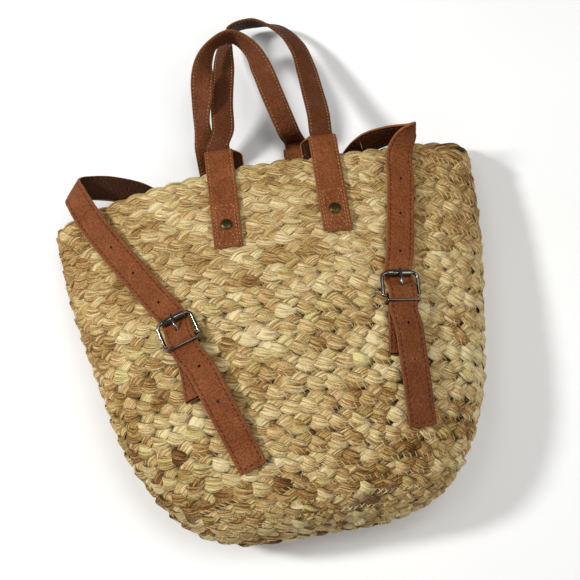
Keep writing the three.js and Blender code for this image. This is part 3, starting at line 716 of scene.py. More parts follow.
def straw_material():
    straw = Material("straw", Roughness=0.7, Specular_IOR_Level=0.16)
    uv = straw.node("UVMap", {"uv_map": "fibre"}).outputs["UV"]

    def streaks(across, along, *detail):
        return straw.noise(straw.scaled(uv, (across, along, 1)), 1.0, *detail)

    fine = streaks(1.8, 0.035, 4.0, 0.7)
    broad = streaks(0.34, 0.016, 2.0)
    splits = streaks(0.75, 0.022, 2.0)
    patches = straw.noise(straw.place(), 26.0, 2.0)
    specks = straw.noise(straw.place(), 650.0, 3.0, 0.6)
    tone = straw.attribute("tone")
    for source, weight in ((fine, 2.6), (broad, 0.8), (patches, 0.5), (specks, 0.7)):
        tone = straw.math("ADD", tone, straw.math("MULTIPLY", straw.math("SUBTRACT", source, 0.5), weight))
    browns = [(0.0, "e6d5a6"), (0.25, "c7ac75"), (0.5, "a5824b"), (0.75, "7a5127"), (1.0, "4a2e14")]
    tints = straw.ramp(straw.attribute("hue"), [(0.0, (1, 0.93, 0.86)), (0.5, 1.0), (1.0, (0.94, 1, 0.84))])
    tinted = straw.mix(1.0, straw.ramp(tone, browns), tints, "MULTIPLY")
    lined = straw.mix(straw.ramp(splits, [(0.3, 0.75), (0.4, 0.0)]), tinted, "5a3c1a")
    # Painted shade along the strands' side edges, from the side layer
    edge_shaded = straw.mix(straw.ramp(straw.attribute("side"), [(0.1, 0.0), (0.8, 0.9)]), lined, "4c2e10")
    # Painted shade: straw lying deep below the wall's surface, in the gaps where strands dive under, is
    # darkened towards near black
    gap = straw.ramp(straw.math("MULTIPLY", straw.attribute("depth"), 0.2), [(0.4, 0.0), (0.85, 0.85)])
    shaded = straw.mix(gap, edge_shaded, "2e1b08")
    worn = straw.math("MULTIPLY", straw.attribute("stain"), straw.ramp(fine, [(0.4, 1.0), (0.6, 0.35)]))
    straw.set("Base Color", straw.mix(worn, shaded, "40342a"))
    ridges = straw.math("ADD", straw.math("MULTIPLY", fine, 0.9), straw.math("MULTIPLY", splits, 0.6))
    straw.bump(ridges, 0.0016, 0.9)
    return straw.material


def leather_material():
    leather = Material("leather", Roughness=0.5, Specular_IOR_Level=0.1)
    place = leather.place()
    mottle = leather.noise(place, 60.0, 4.0, 0.6)
    faces = leather.ramp(mottle, [(0.25, "76401f"), (0.55, "884d29"), (0.8, "985c35")])
    pebbles = leather.node("TexVoronoi", {"feature": "SMOOTH_F1"}, Vector=place, Scale=500.0, Smoothness=0.3)
    creases = leather.noise(place, 420.0, 4.0, 0.65)
    grain = leather.math("ADD", pebbles.outputs["Distance"], leather.math("MULTIPLY", creases, 0.4))
    grained = leather.mix(leather.ramp(grain, [(0.45, 0.0), (0.85, 0.45)]), faces, "4a2410")
    inside = leather.mix(leather.attribute("inner"), grained, "361b0b")
    # Edges and cut ends are lighter: partly the cut leather's own colour, partly a painted highlight for the
    # light along the edges
    cut_edge_and_highlight = leather.mix(leather.attribute("edge"), inside, "8a5530")
    # Painted shade: the shade layer darkens the handles and the leather low on the right
    leather.set("Base Color", leather.mix(leather.attribute("shade"), cut_edge_and_highlight, "2c1509"))
    leather.bump(leather.math("SUBTRACT", 1.0, grain), 0.0012, 0.8)
    leather.set("Roughness", leather.ramp(mottle, [(0.3, 0.58), (0.7, 0.48)]))
    return leather.material


def mottled_material(name, grain, shades, rough_stops=None, **values):
    """A material whose colour, and roughness where given, follow one noise of that scale and detail."""
    made = Material(name, **values)
    mottle = made.noise(made.place(), *grain)
    made.set("Base Color", made.ramp(mottle, shades))
    if rough_stops:
        made.set("Roughness", made.ramp(mottle, rough_stops))
    return made.material


def yarn_material(name, grain, shades, roughness):
    """Sewing thread and stitches."""
    return mottled_material(name, grain, shades, Roughness=roughness, Specular_IOR_Level=0.3)


STRAW = straw_material()
LEATHER = leather_material()
THREAD = yarn_material("sewing_thread", (160.0,), [(0.3, "b4965e"), (0.7, "e4d09c")], 0.6)
LIGHT_STITCH = yarn_material("light_stitch", (900.0, 2.0), [(0.35, "8a5c3c"), (0.65, "c09468")], 0.55)
DARK_STITCH = yarn_material("dark_stitch", (900.0, 2.0), [(0.35, "24100a"), (0.65, "4a2618")], 0.55)
GUNMETAL = mottled_material(
    "gunmetal", (220.0, 4.0, 0.6), [(0.35, "65605a"), (0.7, "7d776e")],
    [(0.3, 0.08), (0.75, 0.13)], Metallic=1.0, Roughness=0.22
)
BRASS = mottled_material(
    "antique_brass", (500.0, 4.0, 0.65), [(0.3, "33321c"), (0.55, "4f4a2a"), (0.8, "776d45")],
    [(0.3, 0.45), (0.7, 0.28)], Metallic=1.0, Roughness=0.34
)
PALE_FLOOR = mottled_material(
    "pale_floor", (3.0, 2.0), [(0.3, "f4f4f2"), (0.7, "f8f8f7")], Roughness=0.9, Specular_IOR_Level=0.1
)


# Straw plaits

def row_wander(share, drop):
    """How far the rows stray from their even lines, the same way for neighbouring rows."""
    angle = 2 * math.pi * share
    slow = 0
    for waves, fall, start, part in WANDER_WAVES:
        slow = slow + part * np.sin(waves * angle + drop / fall + start)
    return WANDER * slow * smoothstep(drop, *WANDER_START) * (1 - smoothstep(drop, *WANDER_END))


def towards_low_right(points, drop, low, high):
    """Share that grows from high up on the left to low down on the right."""
    return smoothstep(points[:, 0] / LOW_RIGHT_X + drop / LOW_RIGHT_DROP, low, high)


def straw_tone_and_painted_light(points, drop):
    """Pale above and golden brown below; painted shade darkens the left, the upper right and the flattened
    upper rows, and painted light pales the lower right.
    """
    x = points[:, 0]
    right = smoothstep(x, *SIDE_ZONE)
    below = smoothstep(drop, *BELOW_RIM)
    zones = {
        "low": smoothstep(drop, *LOW_ZONE),
        "upper": 1 - smoothstep(drop, *UPPER_ZONE),
        "bottom": smoothstep(drop, *BOTTOM_ZONE),
        "left": smoothstep(-x, *SIDE_ZONE),
        "right": right * (1 - below),
        "low_right": right * below,
    }
    return BASE_TONE + sum(ZONE_TONES_AND_PAINTED_LIGHT[name] * share for name, share in zones.items())


def row_band(share, drop):
    """Slow change of tone along a row, different from row to row, from -1 to 1."""
    angle = 2 * math.pi * share
    return 0.5 * (np.sin(6 * angle + 1.7 * drop) + np.sin(11 * angle + 2.9 * drop))


def stain(points):
    """How dark the straw is along one stretch near the base, on the front wall only."""
    turn = math.radians(STAIN_TURN)
    x = points[..., 0] - STAIN_PLACE[0]
    y = points[..., 1] - STAIN_PLACE[1]
    along = x * math.cos(turn) + y * math.sin(turn)
    across = y * math.cos(turn) - x * math.sin(turn)
    near = 1 - smoothstep(np.hypot(along / STAIN_LENGTH, across / STAIN_WIDTH), *STAIN_FADE)
    return STAIN_TONE * near * (points[..., 2] > STAIN_FROM)


def leaf_values(angle, leaves, spread):
    """One random value for each stretch of a strand that lies on top, and its place in the list."""
    order = np.floor((angle - 0.75 * math.pi) / math.pi).astype(int) % leaves
    return rng.normal(0, spread, leaves)[order], order


def strand(way_length, count, periods, drop, angle):
    """Rings of one strand of a row, with the layers that its colours are made from."""
    way = np.arange(count) * way_length / count
    share = wall.share(way, drop)
    leaves = 2 * periods

    def uneven(name, cells=leaves):
        return UNEVEN[name] * periodic_noise(count, cells)

    leaf_tone, leaf = leaf_values(angle, leaves, LEAF_TONE)
    angle = angle + uneven("angle", periods)
    swing = SWING * np.sin(angle) * (1 + uneven("swing"))
    if drop < PITCH:
        swing = np.where(swing < 0, RIM_CALM * swing, swing)
    offset = swing + row_wander(share, drop)
    upper = 1 - smoothstep(drop, *UPPER_ZONE)
    height = WEAVE * np.sin(2 * angle) * (1 + uneven("weave"))
    height = (1 - UPPER_FLATTER * upper) * (height + ROW_TILT * np.sin(angle)) - ROW_SINK
    base, normal = wall.sample(share, drop + offset)
    centre = base + normal * (height - WALL / 2)[:, None]
    along = along_loop(centre)
    side = unit(np.cross(normal, along))
    out = np.cross(along, side)
    roll = (STRAND_ROLL * np.sin(angle) + uneven("roll"))[:, None]
    across = side * np.cos(roll) - out * np.sin(roll)
    up = out * np.cos(roll) + side * np.sin(roll)
    half_width = STRAND_HALF_WIDTH * (WIDTH_SHARE + WIDTH_SWING * np.sin(2 * angle) + uneven("width"))
    half_thick = STRAND_HALF_THICK * (1 + uneven("thick"))
    turn = turns(STRAND_SIDES)
    ridges = np.stack([periodic_noise(count, 3 * periods) for _ in turn], axis=1)
    x = half_width[:, None] * signed_power(np.cos(turn), SECTION_POWER) * (1 + UNEVEN["ridge_width"] * ridges)
    z = half_thick[:, None] * signed_power(np.sin(turn), SECTION_POWER) * (1 + UNEVEN["ridge_thick"] * ridges)
    rings = centre[:, None] + across[:, None] * x[..., None] + up[:, None] * z[..., None]
    depth = -np.sum((rings - base[:, None]) * normal[:, None], axis=2)
    keep_above_floor(rings)
    draw = rng.random(leaves)[leaf]
    band = row_band(share, drop)
    contrast = 1 - UPPER_CALMER * upper
    spread = contrast + PATCHY_MORE * smoothstep(drop, *PATCHY_ZONE)
    tone = straw_tone_and_painted_light(centre, drop + offset) + spread * leaf_tone + uneven("tone") + BAND_TONE * band
    tone = tone + BROWN_TONE * (draw < BROWN_SHARE) + PALE_TONE * (draw > 1 - PALE_SHARE)
    darker = DARK_BAND_TONE * smoothstep(band, *DARK_BAND) + STRAND_EDGE_TONE * np.sin(angle) ** 4
    tone = tone + towards_low_right(centre, drop, *DARK_ZONE) * darker
    hue = np.clip(0.5 + contrast * leaf_values(angle, leaves, LEAF_HUE)[0], 0, 1)
    layers = {
        "tone": np.repeat(tone, STRAND_SIDES),
        "hue": np.repeat(hue, STRAND_SIDES),
        # depth carries painted shade: the straw material darkens deep-lying straw with it
        "depth": contrast * depth.ravel(),
        # side carries painted shade: the straw material darkens the strands' side edges with it
        "side": contrast * np.tile(np.abs(np.cos(turn)) > 0.99, count),
        "stain": stain(rings).ravel(),
    }
    return rings, layers


def fibre_uv(rings):
    """Millimetres round and along a strand for each corner of its faces, from a place of its own."""
    count, sides = rings.shape[:2]
    closed = np.concatenate([rings, rings[:1]])
    along = travelled(closed[:, 0]) + rng.uniform(0, 5000)
    around = np.arange(sides + 1) * STRAND_SIDE_STEP + rng.uniform(0, 500)
    corners = np.empty((count, sides, 4, 2))
    corners[..., 0] = np.stack([around[:-1], around[1:], around[1:], around[:-1]], axis=1)
    corners[..., 1] = np.stack([along[:-1], along[:-1], along[1:], along[1:]], axis=1)[:, None]
    return corners.reshape(-1, 2)


def plait_row(row):
    """Three strands of one row: their shapes, layers and fibre coordinates."""
    drop = RIM_INSET + (row + 0.5) * PITCH
    length = sum(wall.lengths(drop))
    periods = max(4, round(length / PERIOD))
    count = periods * STRAND_STEPS
    start = rng.uniform(0, 2 * math.pi)
    strands = []
    for k in range(3):
        angle = start + 2 * math.pi * (k / 3 - np.arange(count) / STRAND_STEPS)
        rings, layers = strand(length, count, periods, drop, angle)
        strands.append((loft(rings, closed=True), layers, fibre_uv(rings)))
    return strands


def build_plaits():
    """All rows as a few pieces, and a tree to find the straw's surface with."""
    shapes = []
    for number, (first, after) in enumerate(ROW_GROUPS, 1):
        strands = [made for row in range(first, after) for made in plait_row(row)]
        shape = joined([made[0] for made in strands])
        layers = {name: np.concatenate([made[1][name] for made in strands]) for name in strands[0][1]}
        uv = np.concatenate([made[2] for made in strands])
        add_piece(f"basket_plaits_{number}", shape, STRAW, "plait", ["basket"], layers=layers, fibre_uv=uv)
        shapes.append(shape)
    points, faces = joined(shapes)
    return BVHTree.FromPolygons(points.tolist(), faces)


def straw_surface(tree, share, drop):
    """Where a line straight in to the wall meets the straw, with the wall's normal there."""
    points, normals = wall.sample(share, drop)
    found = []
    for point, normal in zip(points, normals):
        hit = tree.ray_cast(Vector(point + RAY_START * normal), Vector(-normal), RAY_REACH)[0]
        found.append(point - normal if hit is None else np.array(hit))
    return np.array(found), normals


def seam_thread(tree, row, lean=-1):
    """The slanted stitches that sew a row to the one above it, sunk between them high up on the left."""
    drop = RIM_INSET + row * PITCH
    length = sum(wall.lengths(drop))
    teeth = max(8, round(length / TOOTH))
    count = teeth * len(SEAM_PLACES)
    place = (np.arange(teeth)[:, None] + np.array(SEAM_PLACES)).ravel() / teeth
    share = wall.share(place * length, drop)
    swing = lean * np.tile(SEAM_SWINGS, teeth)
    swing = swing * (1 + 0.3 * periodic_noise(count, teeth)) + 0.3 * periodic_noise(count, teeth // 2)
    points, normals = straw_surface(tree, share, drop + TOOTH_HEIGHT * swing + row_wander(share, drop))
    proud = towards_low_right(points, drop, *PROUD_ZONE)
    proud = np.clip(proud + 0.4 * periodic_noise(count, teeth // 2), 0, 1)
    sunk = np.tile(SEAM_HEIGHTS, teeth) - 0.4 + 0.7 * proud
    centre = points + normals * sunk[:, None]
    along = along_loop(centre)
    side = unit(np.cross(normals, along))
    radius = THREAD_RADIUS * (0.8 + 0.3 * proud + 0.15 * periodic_noise(count, teeth))
    rings = round_rings(centre, side, np.cross(along, side), radius, THREAD_SIDES)
    keep_above_floor(rings)
    return loft(rings, closed=True)


def loose_fibres(tree):
    """Short hairs that stand off the straw, apart from those that would reach the floor."""
    share = rng.random(FIBRES)
    drop = rng.uniform(*FIBRE_DROPS, FIBRES)
    roots, normals = straw_surface(tree, share, drop)
    heading = unit(rng.normal(size=(FIBRES, 3)))
    heading = unit(heading - normals * np.sum(heading * normals, axis=1, keepdims=True))
    length = rng.uniform(*FIBRE_LENGTHS, FIBRES)
    lift = rng.uniform(*FIBRE_LIFTS, FIBRES)
    bend = rng.uniform(*FIBRE_BENDS, FIBRES)
    radii = np.linspace(*FIBRE_RADII, FIBRE_POINTS)
    t = np.linspace(0, 1, FIBRE_POINTS)[:, None]
    parts = []
    for i in range(FIBRES):
        side = np.cross(normals[i], heading[i])
        rise = normals[i] * (lift[i] * t * (FIBRE_ARCH - t))
        way = length[i] * (heading[i] * t + side * bend[i] * t * t + rise)
        rings = round_rings(roots[i] - FIBRE_SINK * normals[i] + way, side, normals[i], radii, FIBRE_SIDES)
        if rings[..., 2].min() > FLOOR_CLEAR:
            parts.append(loft(rings))
    return joined(parts)


# Leather strips

class Strip:
    """A flat strap along rows of centres, with the direction from its left to its right edge at each."""

    def __init__(self, centres, across, width, thick, corner=2.5, crown=0.35, inset=STITCH_INSET):
        centres = np.asarray(centres, float)
        fine = np.linspace(0, 1, RIBBON_FINE * len(centres))
        way = travelled(catmull_rom(centres, fine))
        ends = corner * np.array(RIBBON_ENDS)
        total = way[-1]
        steps = math.ceil((total - 2 * corner) / RIBBON_STEP)
        middle = np.linspace(corner, total - corner, steps + 1)[1:-1]
        self.place = np.concatenate([ends, middle, total - ends[::-1]])
        t = np.interp(self.place, way, fine)
        self.centre = catmull_rom(centres, t)
        self.across = unit(catmull_rom(across, t))
        along = unit(np.gradient(self.centre, self.place, axis=0))
        self.normal = unit(np.cross(self.across, along))
        self.total = total
        self.width = width
        self.thick = thick
        self.corner = corner
        self.crown = crown
        self.inset = inset

    def face_height(self, x, top=True):
        """Height of a face above the strip's middle, with the dip that the stitches pull."""
        half = self.width / 2
        dip = SEAM_DIP * np.exp(-(((np.abs(x) - half + self.inset) / SEAM_DIP_WIDTH) ** 2))
        if top:
            return self.thick / 2 + self.crown * (1 - (x / half) ** 2) - dip
        return -self.thick / 2 + dip

    def profile(self):
        """Section points (x, z), with how much each belongs to the edge and to the inner face."""
        half = self.width / 2
        radius = self.thick / 2
        x_left = -half + np.array(sorted([radius, *(self.inset + step for step in SEAM_STEPS)]))
        x_top = np.concatenate([x_left, [0], -x_left[::-1]])
        turn = np.radians(EDGE_TURNS)
        arc_x = half - radius + radius * np.cos(turn)
        arc_z = radius * np.sin(turn)
        x = np.concatenate([x_top, arc_x, x_top[::-1], -arc_x])
        top = self.face_height(x_top)
        bottom = self.face_height(x_top, top=False)
        z = np.concatenate([top, arc_z, bottom[::-1], arc_z[::-1]])
        flat = np.zeros(len(x_top))
        full = np.ones(len(turn))
        edge = np.concatenate([flat, full, flat, full])
        inner = np.concatenate([flat, full, flat + 1, full])
        return x, z, edge, inner

    def shape(self):
        """Vertices and faces, with the edge and inner layers."""
        x, z, edge, inner = self.profile()
        from_end = np.minimum(self.place, self.total - self.place)
        inward = self.corner - np.minimum(from_end, self.corner)
        narrow = (self.width / 2 - self.corner + np.sqrt(self.corner**2 - inward**2)) / (self.width / 2)
        round_off = self.thick / 2
        thin = np.sqrt(np.maximum(RIBBON_THIN, 1 - (1 - np.minimum(from_end / round_off, 1)) ** 2))
        rings = (
            self.centre[:, None]
            + self.across[:, None] * (x * narrow[:, None])[..., None]
            + self.normal[:, None] * (z * thin[:, None])[..., None]
        )
        keep_above_floor(rings)
        ends = (from_end < CUT_END)[:, None]
        layers = {
            "edge": np.maximum(np.broadcast_to(edge, rings.shape[:2]), ends).ravel(),
            "inner": np.broadcast_to(inner, rings.shape[:2]).ravel(),
        }
        return loft(rings), layers

    def line(self, x, top=True, first=None, last=None):
        """Points and normals on a face along the strip, x from its middle."""
        first = self.inset if first is None else first
        last = self.total - self.inset if last is None else last
        place = np.arange(first, last, SEAM_LINE_STEP)
        return self.points(place, np.full(len(place), float(x)), top)

    def points(self, place, x, top=True):
        """Points and normals on a face, given by distance along and across."""
        centre, across, normal = (
            interpolated(place, self.place, values) for values in (self.centre, self.across, self.normal)
        )
        normal = unit(normal)
        points = centre + unit(across) * x[:, None] + normal * self.face_height(x, top)[:, None]
        return points, normal if top else -normal


def stitches(points, normals, seam=FINE_SEAM):
    """A row of small arched stitches along a line on a face."""
    pitch, length, radius = seam
    way = travelled(points)
    count = int(way[-1] / pitch)
    middles = (np.arange(count) + 0.5) * way[-1] / max(count, 1)
    centre = interpolated(middles, way, points)
    before = interpolated(middles - STITCH_REACH, way, points)
    after = interpolated(middles + STITCH_REACH, way, points)
    along = unit(after - before)
    normal = unit(interpolated(middles, way, normals))
    along = unit(along + STITCH_SLANT * unit(np.cross(normal, along)))
    side = unit(np.cross(normal, along))
    shares, widths, heights = np.array(STITCH_FORM).T
    parts = []
    for c, a, n, s in zip(centre, along, normal, side):
        line = c + np.outer(shares * length, a) + np.outer(heights * radius, n)
        parts.append(loft(round_rings(line, s, n, widths * radius, STITCH_SIDES)))
    return parts


def edge_stitches(strip, first=None, last=None, faces=(True, False), seam=FINE_SEAM):
    x = strip.width / 2 - strip.inset
    parts = []
    for top in faces:
        for side in (-x, x):
            parts += stitches(*strip.line(side, top, first, last), seam)
    return parts


def end_stitches(strip, seam=BOLD_SEAM):
    """The row across a strip's first end."""
    half = strip.width / 2 - strip.inset
    x = np.arange(-half, half, SEAM_LINE_STEP)
    return stitches(*strip.points(np.full(len(x), strip.inset), x), seam)


def add_leather(name, strip, shade=0.0):
    shape, layers = strip.shape()
    x, y, _ = shape[0].T
    # Painted shade for the leather low on the right, added to the piece's own painted shade
    low_right = smoothstep(x, *LOW_STRAP_X) * (1 - smoothstep(y, *LOW_STRAP_Y))
    layers["shade"] = shade + LOW_STRAP_SHADE * low_right
    return add_piece(name + "_leather", shape, LEATHER, "leather", [name], layers=layers)


def add_stitches(name, parts, material):
    add_piece(name + "_stitches", joined(parts), material, "leather")


def box_shape(centre, axes, sizes):
    """A box about a centre, with its size along each of three axes."""
    corners = np.array([(-1, -1), (1, -1), (1, 1), (-1, 1)]) / 2
    rings = []
    for end in (-0.5, 0.5):
        offsets = corners * np.array(sizes[:2])
        rings.append(centre + offsets @ np.array(axes[:2]) + end * sizes[2] * axes[2])
    return loft(np.array(rings))


def rod_shape(start, end, radius, sides=24):
    """A plain round rod, to make holes with."""
    along = unit(end - start)
    side = unit(np.cross(along, [0.3, 0.9, 0.2]))
    up = np.cross(along, side)
    return loft(round_rings(np.array([start, end]), side, up, np.full(2, radius), sides))


# Handle tabs, rivets and handles

class TabFrame:
    """Place of a tab on the rim, with the directions up along the wall, out of it and across the tab."""

    def __init__(self, front, top_x, end_x, lean):
        rim, rim_normal = wall_at_drop(0, top_x, front)
        end, end_normal = wall_at_drop(TAB_FRONT_LEG, end_x, front)
        self.front = front
        self.lean = lean
        self.origin = rim
        self.up = unit(rim - end)
        out = unit(rim_normal + end_normal)
        self.out = unit(out - self.up * np.dot(out, self.up))
        self.across = np.cross(self.up, self.out)

    def point(self, up, out, across=0.0):
        return self.origin + up * self.up + out * self.out + across * self.across


def tab_strip(tab):
    """Outer leg, half round fold over the rim and inner leg, which leans aside below the fold."""
    radius = WALL / 2 + GAP + TAB_THICK / 2
    spring = TAB_RISE - radius - TAB_THICK / 2
    middle = -WALL / 2
    centres = [tab.point(up, middle + radius) for up in np.linspace(-TAB_FRONT_LEG, spring, 9)[:-1]]
    for angle in np.linspace(0, math.pi, 13):
        aside = tab.lean * max(0, -math.cos(angle))
        centres.append(tab.point(spring + radius * math.sin(angle), middle + radius * math.cos(angle), aside))
    centres += [tab.point(up, middle - radius, tab.lean) for up in np.linspace(spring, -TAB_INNER_LEG, 9)[1:]]
    return Strip(centres, [tab.across for _ in centres], TAB_WIDTH, TAB_THICK, corner=2.0, crown=0.25)


def tab_box_stitches(strip, start):
    """A sewn box with crossed diagonals round the rivet, which lies at start from the strip's end."""
    half = strip.width / 2 - BOX_INSET
    low = STITCH_INSET
    high = 2 * start - STITCH_INSET
    inner = (RIVET_RADIUS + 1) / math.hypot(half, start - low)
    runs = [((-half, y), (half, y)) for y in (low, high)]
    runs += [((x, low), (x, high)) for x in (-half, half)]
    runs += [((x, y), (x * inner, start + (y - start) * inner)) for x in (-half, half) for y in (low, high)]
    parts = []
    for (x0, y0), (x1, y1) in runs:
        steps = max(4, int(math.hypot(x1 - x0, y1 - y0) / SEAM_LINE_STEP))
        parts += stitches(*strip.points(np.linspace(y0, y1, steps), np.linspace(x0, x1, steps)))
    return parts


def rivet_shape(tab):
    """Two domed heads with rolled rims on one shank."""
    seat = WALL / 2 + GAP + TAB_THICK + GAP
    head = [(radius * RIVET_RADIUS, seat + height * RIVET_HEIGHT) for radius, height in RIVET_PROFILE]
    head.append((RIVET_SHANK, seat))
    outline = head + [(radius, -height) for radius, height in reversed(head)]
    radii, heights = np.array(outline).T
    centres = tab.point(-RIVET_DROP, -WALL / 2) + np.outer(heights, tab.out)
    return loft(round_rings(centres, tab.across, -tab.up, np.maximum(radii, RIVET_MIDDLE), RIVET_SIDES))


def build_tabs(tabs):
    slot_sizes = (HANDLE_WIDTH + 2 * GAP, HANDLE_THICK + 2 * GAP, TAB_RISE)
    for name, tab in tabs.items():
        strip = tab_strip(tab)
        piece = add_leather(f"handle_tab_{name}", strip)
        slot = box_shape(tab.point(TAB_RISE, -WALL / 2), (tab.across, tab.out, tab.up), slot_sizes)
        hole_centre = tab.point(-RIVET_DROP, -WALL / 2)
        reach = 3 * WALL * tab.out
        cut(piece, [slot, rod_shape(hole_centre - reach, hole_centre + reach, RIVET_HOLE)])
        sewn = edge_stitches(strip, faces=(True,)) + tab_box_stitches(strip, TAB_FRONT_LEG - RIVET_DROP)
        add_stitches(f"handle_tab_{name}", sewn, LIGHT_STITCH)
        rivet = f"handle_rivet_{name}"
        add_piece(rivet + "_head", rivet_shape(tab), BRASS, "rivet_brass", [rivet])


def free_path(rows):
    """Centre and across of each row of a free stretch."""
    return [(np.array(row[:3], float), direction(*row[3:])) for row in rows]


def handle_strip(rows, first, last):
    def end(tab, flip):
        across = tab.across if flip else -tab.across
        return [(tab.point(up, -WALL / 2), across) for up in HANDLE_STRAIGHT]

    path = end(first, first.front) + free_path(rows) + end(last, not last.front)[::-1]
    centres, across = zip(*path)
    return Strip(centres, across, HANDLE_WIDTH, HANDLE_THICK, crown=0.4)


def build_handles(tabs):
    for name, handle in HANDLES.items():
        first, last = (tabs[tab] for tab in handle["tabs"])
        strip = handle_strip(handle["rows"], first, last)
        add_leather(name, strip, HANDLE_SHADES[name])
        add_stitches(name, edge_stitches(strip, TAB_RISE, strip.total - TAB_RISE), LIGHT_STITCH)


# Buckles and shoulder straps

class BuckleFrame:
    """Place of a buckle's hinge on the front wall, with its own directions."""

    def __init__(self, hinge, turn):
        seat, seat_normal = wall_at(*hinge, True)
        ahead = direction(90 + turn, 0) * BUCKLE_TAB_LENGTH
        foot, foot_normal = wall_at(hinge[0] - ahead[0], hinge[1] - ahead[1], True)
        self.origin = seat
        self.along = unit(seat - foot)
        self.across = unit(np.cross(self.along, seat_normal + foot_normal))
        self.up = np.cross(self.across, self.along)

    def place(self, local):
        local = np.asarray(local, float)
        return self.origin + local @ np.array([self.across, self.along, self.up])


def rounded_rectangle(half, low, high, low_corner, high_corner, steps=8):
    """Points of a closed outline in the XY plane."""
    corners = [
        (half - low_corner, low + low_corner, low_corner, -90),
        (half - high_corner, high - high_corner, high_corner, 0),
        (-half + high_corner, high - high_corner, high_corner, 90),
        (-half + low_corner, low + low_corner, low_corner, 180),
    ]
    points = []
    for x, y, radius, start in corners:
        for angle in np.radians(np.linspace(start, start + 90, steps)):
            points.append((x + radius * math.cos(angle), y + radius * math.sin(angle), 0))
    return np.array(points)


def wire_loop(outline, radius, sides=14):
    """A round wire along a closed outline in the XY plane."""
    inward = np.cross(UP, along_loop(outline))
    return round_rings(outline, inward, UP, np.full(len(outline), radius), sides)


def lathe_x(profile, centre, sides=32):
    """Rings about the X direction from (x, radius) points."""
    x, radii = np.array(profile).T
    return round_rings(centre + np.outer(x, ACROSS), ALONG, -UP, radii, sides)


def sleeve_profile(length, bore, radius, rounding):
    """A closed (x, radius) outline of a sleeve with rounded outer edges."""
    half = length / 2
    edge = []
    for turn in np.radians(np.linspace(0, 90, 5)):
        edge.append((half - rounding * (1 - math.cos(turn)), radius - rounding * (1 - math.sin(turn))))
    return [(half, bore)] + edge + [(-x, r) for x, r in reversed(edge)] + [(-half, bore)]


def square_to(line):
    """Direction square to a line of (along, height) points at each of them."""
    ahead = unit(np.gradient(line, axis=0))
    return np.stack([-ahead[:, 1], ahead[:, 0]], axis=1)


def prong_rings():
    """A tongue that narrows to its tip, as rings in the buckle's frame."""
    share = np.linspace(0, 1, PRONG_POINTS)
    line = catmull_rom(PRONG_LINE, share)
    taper = 1 - PRONG_TAPER * smoothstep(share, 0.3, 1)
    taper[-3:] *= PRONG_TIP
    turn = -turns(PRONG_SIDES)
    x = np.outer(taper * PRONG_WIDTH / 2, signed_power(np.cos(turn), PRONG_POWER))
    lift = np.outer(taper * PRONG_HALF, np.sin(turn))
    side = line[:, None] + square_to(line)[:, None] * lift[..., None]
    return np.concatenate([x[..., None], side], axis=2)


def buckle_tab_strip(buckle, shift):
    radius = ROLLER_BORE + BUCKLE_TAB_THICK / 2
    flat = 2 * GAP + BUCKLE_TAB_THICK / 2
    upper = flat + BUCKLE_TAB_THICK + GAP
    profile = [
        (-BUCKLE_TAB_LENGTH, flat),
        (-BUCKLE_TAB_LENGTH / 2, flat),
        (-BUCKLE_TAB_FLAT, flat + BUCKLE_TAB_LIFT),
        (-BUCKLE_TAB_NECK, FRAME_HEIGHT - radius - BUCKLE_TAB_PINCH),
    ]
    for angle in np.linspace(0, math.pi, 9):
        profile.append((radius * math.sin(angle), FRAME_HEIGHT - radius * math.cos(angle)))
    profile += [
        (-BUCKLE_TAB_NECK, FRAME_HEIGHT + radius - BUCKLE_TAB_SPREAD),
        (-BUCKLE_TAB_FLAT, upper + BUCKLE_TAB_SPREAD),
        (-BUCKLE_TAB_LENGTH / 2, upper),
        (-BUCKLE_TAB_LENGTH + BUCKLE_TAB_STEP, upper),
    ]
    centres = []
    for along, height in profile:
        sideways = shift * (along / BUCKLE_TAB_LENGTH) ** 2 if along < 0 else 0
        centres.append(buckle.place((sideways, along, height)))
    return Strip(centres, [-buckle.across for _ in centres], BUCKLE_TAB_WIDTH, BUCKLE_TAB_THICK, crown=0.0)


